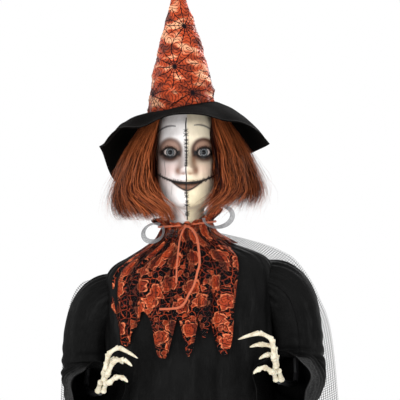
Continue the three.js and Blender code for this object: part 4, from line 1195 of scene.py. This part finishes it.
def crepe_material():
    """Thin black cloth with a fine crinkled weave, and painted highlights along its wrinkles."""
    shader = Shader("black_crepe", roughness=0.7, specular_ior_level=0.09)
    uv = shader.uv()
    threads = weave(shader, uv, 0.9)
    slub = shader.noise(shader.scaled(uv, (1, 0.12, 1)), 480, 4, 0.7)
    faded = shader.clamp_range(shader.noise(uv, 9, 4, 0.6), 0.35, 0.7)
    thread = shader.mix(slub, (0.0005, 0.0005, 0.0005), (0.0032, 0.0032, 0.0032))
    worn = shader.mix(slub, (0.0012, 0.0012, 0.0012), (0.009, 0.009, 0.009))
    # Painted highlights: lighter grey streaks along the wrinkles.
    wrinkle_highlight = shader.noise(shader.scaled(uv, (1, 0.2, 1)), 34, 6, 0.7)
    cloth = shader.mix(faded, thread, worn)
    cloth = shader.mix(shader.clamp_range(wrinkle_highlight, 0.52, 0.7, 0.0, 0.6), cloth, (0.014, 0.014, 0.014))
    shader.set("Base Color", cloth)
    shader.set("Roughness", shader.clamp_range(slub, 0.3, 0.7, 0.55, 0.85))
    shader.bumps(threads, 0.16, 0.6)
    shader.bumps(shader.noise(shader.scaled(uv, (1, 0.22, 1)), 210, 5, 0.65), 0.9, 0.7)
    shader.bumps(shader.noise(uv, 28, 4, 0.6), 5.0, 0.8)
    shader.bumps(shader.noise(shader.scaled(uv, (1, 0.45, 1)), 9, 3, 0.5), 14.0, 0.8)
    return shader.material


def arc_uv(points):
    """Sheet coordinates in metres: the mean distance along rows and down columns."""
    across = np.linalg.norm(np.diff(points, axis=1), axis=2).mean(0)
    down = np.linalg.norm(np.diff(points, axis=0), axis=2).mean(1)
    u = np.concatenate([[0], np.cumsum(across)])
    v = np.concatenate([[0], np.cumsum(down)])
    grid = np.stack(np.broadcast_arrays(u[None, :], v[:, None]), -1)
    return grid * MM


def cloth_piece(name, points, material, body, replaced, thickness, ring=False, uv=None):
    """A sheet of cloth over a grid of points, thickness in millimetres."""
    mesh = grid_mesh(name, points, ring, uv=arc_uv(points) if uv is None else uv)
    piece = make_object(name, mesh, material, body, replaced)
    thicken(piece, thickness)
    return piece


def make_robe(material):
    """The robe: gathered into a yoke at the neck, draped over the chest, in long folds below."""
    v, turn = grid(330, 420, (0, 1), (-math.pi, math.pi))
    height = ROBE_TOP - ROBE_LENGTH * v**0.9
    fall = smooth(1080, 700, height)
    folds = 6.5 * np.cos(9 * turn + 1.4 * waves(height / 260, 41)) + 4 * waves(turn * 5, 42)
    gathers = 1.4 * np.sin(turn * 26 + waves(height / 40, 43)) + 2 * waves(turn * 4 + height / 90, 44)
    yoke = smooth(1165, 1120, height) * gathers
    chest = smooth(1140, 1080, height) * smooth(500, 800, height)
    draped = 2.6 * waves(turn * 3.2 + height / 70, 45, 3) * chest
    skirt = 3.5 * fall * folds * (0.35 + 0.65 * smooth(900, 300, height)) * 0.55
    out = draped + skirt + yoke * (1 - 0.7 * fall)
    beside = smooth(0.35, 0.95, np.abs(np.sin(turn)))
    shoulder = beside * smooth(560, 820, height) * smooth(1150, 1112, height)
    hem = 4 * np.sin(turn * 7) * smooth(100, 32, height)
    x, y, z = robe_point(turn, height, out)
    x = x + np.sign(np.sin(turn)) * 20 * shoulder
    points = np.stack([x, y, z + hem + 3 * smooth(60, 32, height)], -1)
    robe = cloth_piece("robe_gown", points, material, "stand", "robe", 1.2)


# Each sleeve's middle line from the shoulder to the wrist, and its radius at each point
SLEEVES = {
    "left": {
        "out": 1,
        "line": [(128, 18, 1078), (160, 18, 1070), (188, 18, 1056), (208, 18, 1030), (222, 17, 980),
                 (227, 12, 920), (226, -8, 884), (218, -50, 872), (204, -100, 874), (190, -140, 880),
                 (184, -158, 884)],
        "radii": [30, 47, 56, 57, 54, 52, 54, 54, 52, 52, 54],
    },
    "right": {
        "out": -1,
        "line": [(-112, 18, 1052), (-146, 18, 1044), (-172, 18, 1030), (-190, 18, 1004), (-203, 16, 955),
                 (-208, 10, 895), (-206, -10, 866), (-200, -50, 855), (-188, -100, 857), (-176, -140, 862),
                 (-172, -158, 866)],
        "radii": [30, 44, 51, 51, 48, 45, 46, 47, 48, 49, 50],
    },
}


def make_sleeve(side, material):
    """A sleeve: gathered over the shoulder, creased at the elbow, open at the wrist."""
    form = SLEEVES[side]
    out = form["out"]
    rows = 300
    path = spline(form["line"], rows)
    first, second = tube_frames(path)
    line = np.asarray(form["line"], float)
    along = np.concatenate([[0], np.cumsum(np.linalg.norm(np.diff(line, axis=0), axis=1))])
    radius = np.interp(np.linspace(0, 1, rows), along / along[-1], form["radii"])
    radius = np.convolve(np.pad(radius, 12, mode="edge"), np.ones(25) / 25, "valid")
    t, angle = grid(rows, 200, (0, 1), (0, TAU), ring=True)
    elbow = ridge(t - 0.6, 0.14)
    creases = 3.0 * elbow * np.sin(t * 95 + 2.2 * np.sin(angle + 1) + waves(np.sin(angle) * 2, 71))
    around = np.cos(angle) * 2.1
    beside = np.sin(angle) * 2.1
    long_folds = 2.6 * waves(around + 4 * t, 72 + out, 3) * waves(beside - 3 * t, 75 + out, 3)
    long_folds = 2.2 * long_folds + 1.3 * np.sin(angle * 7 + 5 * t + waves(6 * t, 78)) * smooth(0.15, 0.35, t)
    gathers = 1.3 * ridge(t - 0.12, 0.05) * np.sin(angle * 21)
    cuff = smooth(0.86, 1, t) * (4 * np.sin(angle * 5 + out) + 3)
    size = radius[:, None] + creases + long_folds + gathers + cuff
    ring = np.cos(angle)[..., None] * first[:, None] + np.sin(angle)[..., None] * second[:, None]
    points = path[:, None] + ring * size[..., None]
    droop = smooth(0.6, 1.0, t) * np.clip(-ring[..., 2], 0, 1)
    points[..., 2] -= 16 * droop
    shut = smooth(0.0, 0.045, t)[..., None]
    points = path[:1, None] * (1 - shut) + points * shut
    name, body = f"sleeve_{side}_cloth", "arm_" + side
    piece = cloth_piece(name, points, material, body, "sleeve_" + side, 1.2, ring=True)


# ---------------------------------------------------------------- lace

# Degrees round from the front, and the height of the lace's pointed hem there
LACE_HEM = [
    (-180, 1128), (-120, 1126), (-96, 1112), (-86, 1092), (-78, 1066), (-73, 1030), (-68, 1034), (-62, 1010),
    (-55, 956), (-50, 950), (-43, 986), (-33, 1024), (-28, 1004), (-22, 930), (-17, 924), (-12, 968),
    (-8, 1012), (-4, 960), (-1, 920), (3, 950), (6, 1002), (8, 978), (10, 954), (12, 970), (14, 996),
    (20, 946), (26, 916), (30, 950), (33, 1006), (35, 1060), (38, 1108), (46, 1132), (64, 1142), (120, 1140),
    (180, 1136),
]
LACE_TOP = 1188


def flower(shader, uv, pitch, reach, shift):
    """Blooms about pitch metres apart: where they are, their rims and the dark lines between petals."""
    angle, length = shader.around_middles(shader.vectors("ADD", uv, shift), pitch, 0.8)
    scale = shader.math("DIVIDE", length, pitch)
    petals = shader.size(shader.sine(shader.times(angle, 2.5)))
    depth = shader.less(shader.math("MULTIPLY_ADD", petals, 0.1, reach), scale)
    inside = shader.clamp_range(depth, -0.012, 0.012)
    rim = shader.times(inside, shader.clamp_range(depth, 0.075, 0.035))
    curl = shader.math("MULTIPLY_ADD", petals, 0.06, scale)
    turns = shader.fraction(shader.math("MULTIPLY_ADD", curl, 7.0, shader.math("DIVIDE", angle, TAU)))
    veins = shader.clamp_range(shader.size(shader.less(turns, 0.5)), 0.13, 0.06)
    return inside, rim, veins


def lace_material():
    """Black net with roses, leaves and scrolls worked in orange thread."""
    shader = Shader("rose_lace", roughness=0.6, specular_ior_level=0.12)
    uv = shader.uv()
    bent = shader.moved_about(uv, 0.016, 60.0, 2.0)
    rose, rose_rim, rose_veins = flower(shader, bent, 0.042, 0.29, (0.0, 0.0, 0.0))
    leaf, leaf_rim, leaf_veins = flower(shader, bent, 0.0165, 0.22, (0.31, 0.17, 0.0))
    some = shader.clamp_range(shader.noise(shader.scaled(uv, (1, 1, 0)), 24, 1), 0.47, 0.53)
    leaf = shader.times(leaf, some)
    vine = shader.voronoi(bent, 92.0, feature="DISTANCE_TO_EDGE")["Distance"]
    vine = shader.clamp_range(vine, 0.075, 0.035)
    outside = shader.less(1.0, rose)
    petal = shader.times(rose, shader.less(1.0, shader.times(rose_veins, 0.9)))
    small = shader.times(leaf, shader.less(1.0, shader.times(leaf_veins, 0.8)))
    ground = shader.times(outside, shader.larger(small, shader.times(vine, 0.7)))
    worked = shader.larger(petal, ground)
    stitches = shader.noise(shader.scaled(uv, (1, 2.2, 1)), 1300, 3, 0.6)
    fade = shader.clamp_range(shader.noise(uv, 42, 4, 0.65), 0.35, 0.65)
    deep = shader.mix(stitches, (0.05, 0.004, 0.002), (0.26, 0.022, 0.006))
    bright = shader.mix(stitches, (0.18, 0.014, 0.004), (0.62, 0.085, 0.02))
    orange = shader.mix(fade, deep, bright)
    rims = shader.larger(rose_rim, shader.times(leaf, leaf_rim))
    orange = shader.mix(shader.times(rims, 0.8), orange, (0.72, 0.2, 0.085))
    # Painted shade in the pleats: dark vertical streaks, a little lighter on their ridges.
    pleat_shade = shader.noise(shader.scaled(uv, (1, 0.1, 1)), 48, 3, 0.6)
    orange = shader.mix(1.0, orange, shader.clamp_range(pleat_shade, 0.38, 0.56, 0.22, 1.15), "MULTIPLY")
    net = shader.mix(stitches, (0.0022, 0.0018, 0.002), (0.013, 0.007, 0.007))
    shader.set("Base Color", shader.mix(shader.clamp_range(worked, 0.25, 0.7), net, orange))
    shader.set("Roughness", shader.clamp_range(worked, 0.2, 0.6, 0.75, 0.42))
    holes = weave(shader, uv, 1.6)
    mesh_alpha = shader.clamp_range(holes, 0.30, 0.42, 1.0, 0.3)
    shader.set("Alpha", shader.larger(mesh_alpha, shader.clamp_range(worked, 0.15, 0.4)))
    shader.bumps(shader.times(worked, stitches), 0.5, 0.8)
    shader.bumps(worked, 0.4, 0.6)
    return shader.material


def make_lace():
    """The jabot: gathered at the neck, falling in deep pleats to a pointed hem."""
    material = lace_material()
    v, degrees = grid(190, 640, (0, 1), (-180, 180))
    turn = np.radians(degrees)
    hem = table(LACE_HEM, 1, degrees, 1.2)
    height = LACE_TOP + (hem - LACE_TOP) * v
    down = smooth(1186, 1130, height)
    pleats = np.sin(turn * 30 + 1.2 * waves(turn * 4, 81)) * (1 - 0.5 * down)
    pleats = pleats + 0.9 * waves(turn * 9 + 0.4 * v, 82)
    depth = (0.8 + 4.6 * smooth(1186, 1100, height)) * pleats
    neck = 51 + (1186 - np.minimum(height, 1186)) * 0.5
    x, y, z = robe_point(turn, np.minimum(height, 1157), 13.5)
    over = smooth(1146, 1170, height)
    x = x * (1 - over) + neck * np.sin(turn) * over
    y = y * (1 - over) - neck * np.cos(turn) * over
    z = z * (1 - over) + (height + 0.1 * x) * over
    away = unit(np.stack([x, y, 0 * x], -1))
    points = np.stack([x, y, z], -1) + away * depth[..., None]
    front = smooth(60, 20, np.abs(degrees)) * smooth(1110, 990, height)
    points[..., 1] -= 7 * front * (1 + 0.6 * np.sin(turn * 13))
    uv = np.stack([150 * turn, height], -1) * MM
    jabot = cloth_piece("lace_jabot", points, material, "stand", "lace_collar", 0.7, uv=uv)
    make_ruffle(material)


def make_ruffle(material):
    """The part of the lace that stands up around the neck, above the cord, open in front."""
    v, turn = grid(60, 640, (0, 1), (-math.pi, math.pi))
    opening = np.clip(np.cos(turn), 0, 1) ** 8
    top = 1207 - 19 * opening + 4 * waves(turn * 7, 83) + 4.8 * np.sin(turn)
    height = 1180 + (top - 1180) * v
    pleats = 5.5 * smooth(0.1, 1, v) * np.sin(turn * 24 + 1.5 * waves(turn * 3, 84))
    flare = 51 + 17 * smooth(0.15, 1, v) + pleats
    points = np.stack([flare * np.sin(turn), -flare * np.cos(turn), height + 0.1 * flare * np.sin(turn)], -1)
    uv = np.stack([110 * turn, height], -1) * MM
    ruffle = cloth_piece("lace_ruffle", points, material, "stand", "lace_collar", 0.7, uv=uv)


# ---------------------------------------------------------------- tulle cape and gauze bow

# The cape's side edges and the middle of its rear, from the shoulders to the hem
CAPE_RIGHT = [(-60, 24, 1168), (-112, 62, 1132), (-176, 84, 1096), (-238, 88, 1040), (-260, 94, 920),
              (-268, 104, 740), (-276, 114, 560)]
CAPE_LEFT = [(69, 24, 1168), (134, 62, 1152), (192, 84, 1132), (232, 88, 1104), (274, 94, 1036),
             (306, 102, 922), (334, 114, 560)]
CAPE_REAR = [(4, 76, 1172), (4, 92, 1140), (4, 104, 1100), (4, 110, 1040), (4, 116, 920), (4, 136, 740),
             (4, 166, 530)]


def net_material(name, thread, pitch, share):
    """Open net: see-through between its threads."""
    shader = Shader(name, roughness=0.7)
    uv = shader.uv()
    lines = []
    for part in shader.parts(uv)[:2]:
        turn = shader.fraction(shader.math("DIVIDE", part, pitch * MM))
        from_middle = shader.size(shader.less(turn, 0.5))
        lines.append(shader.clamp_range(from_middle, 0.5 * share, 0.5 * share - 0.06))
    net = shader.larger(lines[0], lines[1])
    tone = shader.noise(uv, 900, 2)
    dark = tuple(0.6 * part for part in thread)
    shader.set("Base Color", shader.mix(tone, dark, thread))
    shader.set("Alpha", shader.clamp_range(net, 0.0, 1.0, 0.04, 0.92))
    shader.bumps(net, 0.2, 0.5)
    return shader.material


def make_cape():
    """The cape: pinned at both shoulders and gathered round the rear."""
    rows, columns = 220, 300
    right, left, rear = [spline(points, rows)[:, None] for points in (CAPE_RIGHT, CAPE_LEFT, CAPE_REAR)]
    t, u = grid(rows, columns, (0, 1), (0, 1))
    bulge = np.sin(math.pi * u) ** 0.8
    x = right[..., 0] + (left[..., 0] - right[..., 0]) * u
    edge_y = right[..., 1] + (left[..., 1] - right[..., 1]) * u
    edge_z = right[..., 2] + (left[..., 2] - right[..., 2]) * u
    y = edge_y + (rear[..., 1] - edge_y) * bulge
    z = edge_z + (rear[..., 2] - edge_z) * bulge
    gathers = np.sin(u * 70 + 2 * waves(u * 9, 91)) * 0.55 + waves(u * 14 + t, 92)
    gathers = (2 + 7 * smooth(0.05, 0.6, t)) * gathers
    y = y + 4 + np.maximum(gathers, -6) * (0.25 + 0.75 * bulge)
    hem = 9 * waves(u * 21, 93) * smooth(0.85, 1, t)
    hug = 30 * smooth(-10, -110, x) * smooth(1060, 1110, z)
    points = np.stack([x, y, z + hem - hug], -1)
    material = net_material("grey_tulle", (0.07, 0.07, 0.075), 4.4, 0.24)
    cape = cloth_piece("cape_tulle", points, material, "stand", "tulle_cape", 0.25)


BOW_DEPTH = -68
BOW_LOOPS = {
    "left": {"middle": (62, 1203), "half": (29, 21), "tilt": 0.2},
    "right": {"middle": (-67, 1171), "half": (21, 17), "tilt": 0.45},
}


def make_bow():
    """Two loops of flat gauze ribbon, each one strip that leaves the knot and comes back to it."""
    material = net_material("grey_gauze", (0.3, 0.3, 0.31), 1.1, 0.5)
    for side, form in BOW_LOOPS.items():
        turn = np.linspace(-0.15, TAU - 0.5, 150)
        start = math.pi if side == "left" else 0
        way = 1 if side == "left" else -1
        (x0, z0), (wide, high) = form["middle"], form["half"]
        flat = np.stack([wide * np.cos(start + way * turn), high * np.sin(start + way * turn)], 1)
        lean = form["tilt"]
        x = x0 + flat[:, 0] * math.cos(lean) - flat[:, 1] * math.sin(lean)
        z = z0 + flat[:, 0] * math.sin(lean) + flat[:, 1] * math.cos(lean)
        y = BOW_DEPTH - 3 * np.sin(turn)
        path = np.stack([x, y, z], 1)
        along = unit(np.gradient(path, axis=0))
        roll = 0.75 + 0.45 * np.sin(turn * 1.5 + 0.6)
        outward = unit(np.cross(along, [0, 1, 0]))
        across = np.cos(roll)[:, None] * outward + np.sin(roll)[:, None] * np.array([0, 1, 0])
        span = np.linspace(-5.2, 5.2, 13)
        points = path[:, None] + across[:, None] * span[None, :, None]
        name, node = f"bow_{side}_ribbon", "bow_loop_" + side
        loop = cloth_piece(name, points, material, "stand", node, 0.5)


# ---------------------------------------------------------------- hands

# Points of each hand: the wrist, the palm's middle, and each finger's joints from its knuckle to its claw
ARM_ENDS = {
    "left": {
        "wrist": (180, -160, 884),
        "palm": (170, -190, 912),
        "fingers": [
            [(168, -196, 930), (165, -200, 968), (140, -206, 981), (100, -210, 969)],
            [(172, -188, 930), (170, -190, 952), (144, -194, 958), (122, -198, 953)],
            [(174, -180, 915), (174, -181, 936), (156, -184, 937), (140, -187, 929)],
            [(164, -204, 905), (150, -214, 915), (138, -220, 912), (128, -222, 904)],
        ],
    },
    "right": {
        "wrist": (-168, -160, 862),
        "palm": (-158, -190, 890),
        "fingers": [
            [(-156, -196, 908), (-150, -200, 940), (-130, -206, 953), (-94, -210, 933)],
            [(-152, -200, 900), (-140, -208, 926), (-120, -214, 930), (-104, -216, 918)],
            [(-160, -182, 900), (-154, -184, 922), (-138, -186, 930), (-122, -188, 920)],
            [(-148, -206, 885), (-134, -216, 897), (-122, -220, 896), (-112, -222, 888)],
        ],
    },
}


def bone(heap, start, end, radius, last=False):
    """One bone: knobbed at both ends and narrow between; the last one tapers to a claw."""
    start, end = np.asarray(start, float), np.asarray(end, float)
    t = np.linspace(-0.04, 1.04, 26)
    middle = 0.62 + 0.42 * np.abs(2 * t - 1) ** 2.4
    if last:
        waist = 0.95 - 0.15 * np.sin(math.pi * np.clip(t * 1.4, 0, 1))
        middle = waist * (1.05 - 0.8 * np.clip(t, 0, 1) ** 1.5)
    ends = np.sqrt(np.clip(1 - (np.clip(np.abs(2 * t - 1) - 0.82, 0, 1) / 0.27) ** 2, 0.03, 1))
    bow = np.sin(math.pi * np.clip(t, 0, 1))[:, None] * np.array([0, 0, 1.2])
    heap.tube(start + (end - start) * t[:, None] + bow, radius * middle * ends, 14)


def bone_material():
    shader = Shader("old_bone", roughness=0.5, specular_ior_level=0.4, subsurface_weight=0.12)
    shader.set("Subsurface Radius", (0.004, 0.002, 0.001))
    place = shader.place()
    grime = shader.clamp_range(shader.noise(place, 85, 6, 0.7), 0.4, 0.68)
    crease = shader.clamp_range(shader.node("NewGeometry").outputs["Pointiness"], 0.44, 0.5)
    base = shader.mix(grime, (0.76, 0.71, 0.56), (0.5, 0.42, 0.29))
    shader.set("Base Color", shader.mix(crease, (0.12, 0.085, 0.045), base))
    shader.bumps(shader.noise(shader.scaled(place, (1, 1, 0.5)), 420, 5, 0.65), 0.5, 0.7)
    return shader.material


def make_hands():
    """Each hand's bones, melted together into one moulded piece."""
    material = bone_material()
    for side, form in ARM_ENDS.items():
        heap = Heap()
        palm, wrist = np.array(form["palm"], float), np.array(form["wrist"], float)
        inward = unit(palm - wrist)
        for shift in (-5.5, 5.5):
            lean = np.array([shift, 0, 0])
            bone(heap, wrist + 2 * inward + lean, palm - 8 * inward + lean, 7)
        for joints in form["fingers"]:
            knuckle = np.array(joints[0], float)
            root = palm - 10 * inward + 0.35 * (knuckle - palm)
            bone(heap, root, knuckle, 6.4)
            chain = [knuckle] + [np.array(joint, float) for joint in joints[1:]]
            for index in range(len(chain) - 1):
                bone(heap, chain[index], chain[index + 1], 7 - 0.7 * index, last=index == len(chain) - 2)
        name, node = f"hand_{side}_bones", "hand_" + side
        hand = make_object(name, heap.mesh("bones"), material, "arm_" + side, node)
        blend = hand.modifiers.new("blend", "REMESH")
        blend.mode = "VOXEL"
        blend.voxel_size = 0.8 * MM
        soften = hand.modifiers.new("soften", "SMOOTH")
        soften.iterations = 4
        apply_modifiers(hand)


# ---------------------------------------------------------------- making it

make_camera()
make_cords()
make_studio()
finish_frame_nodes()
make_face()
make_stitches()
make_lashes()
make_eyes()
make_wig()
make_crown()
make_brim()
crepe = crepe_material()
make_robe(crepe)
make_sleeve("left", crepe)
make_sleeve("right", crepe)
make_lace()
make_cape()
make_bow()
make_hands()
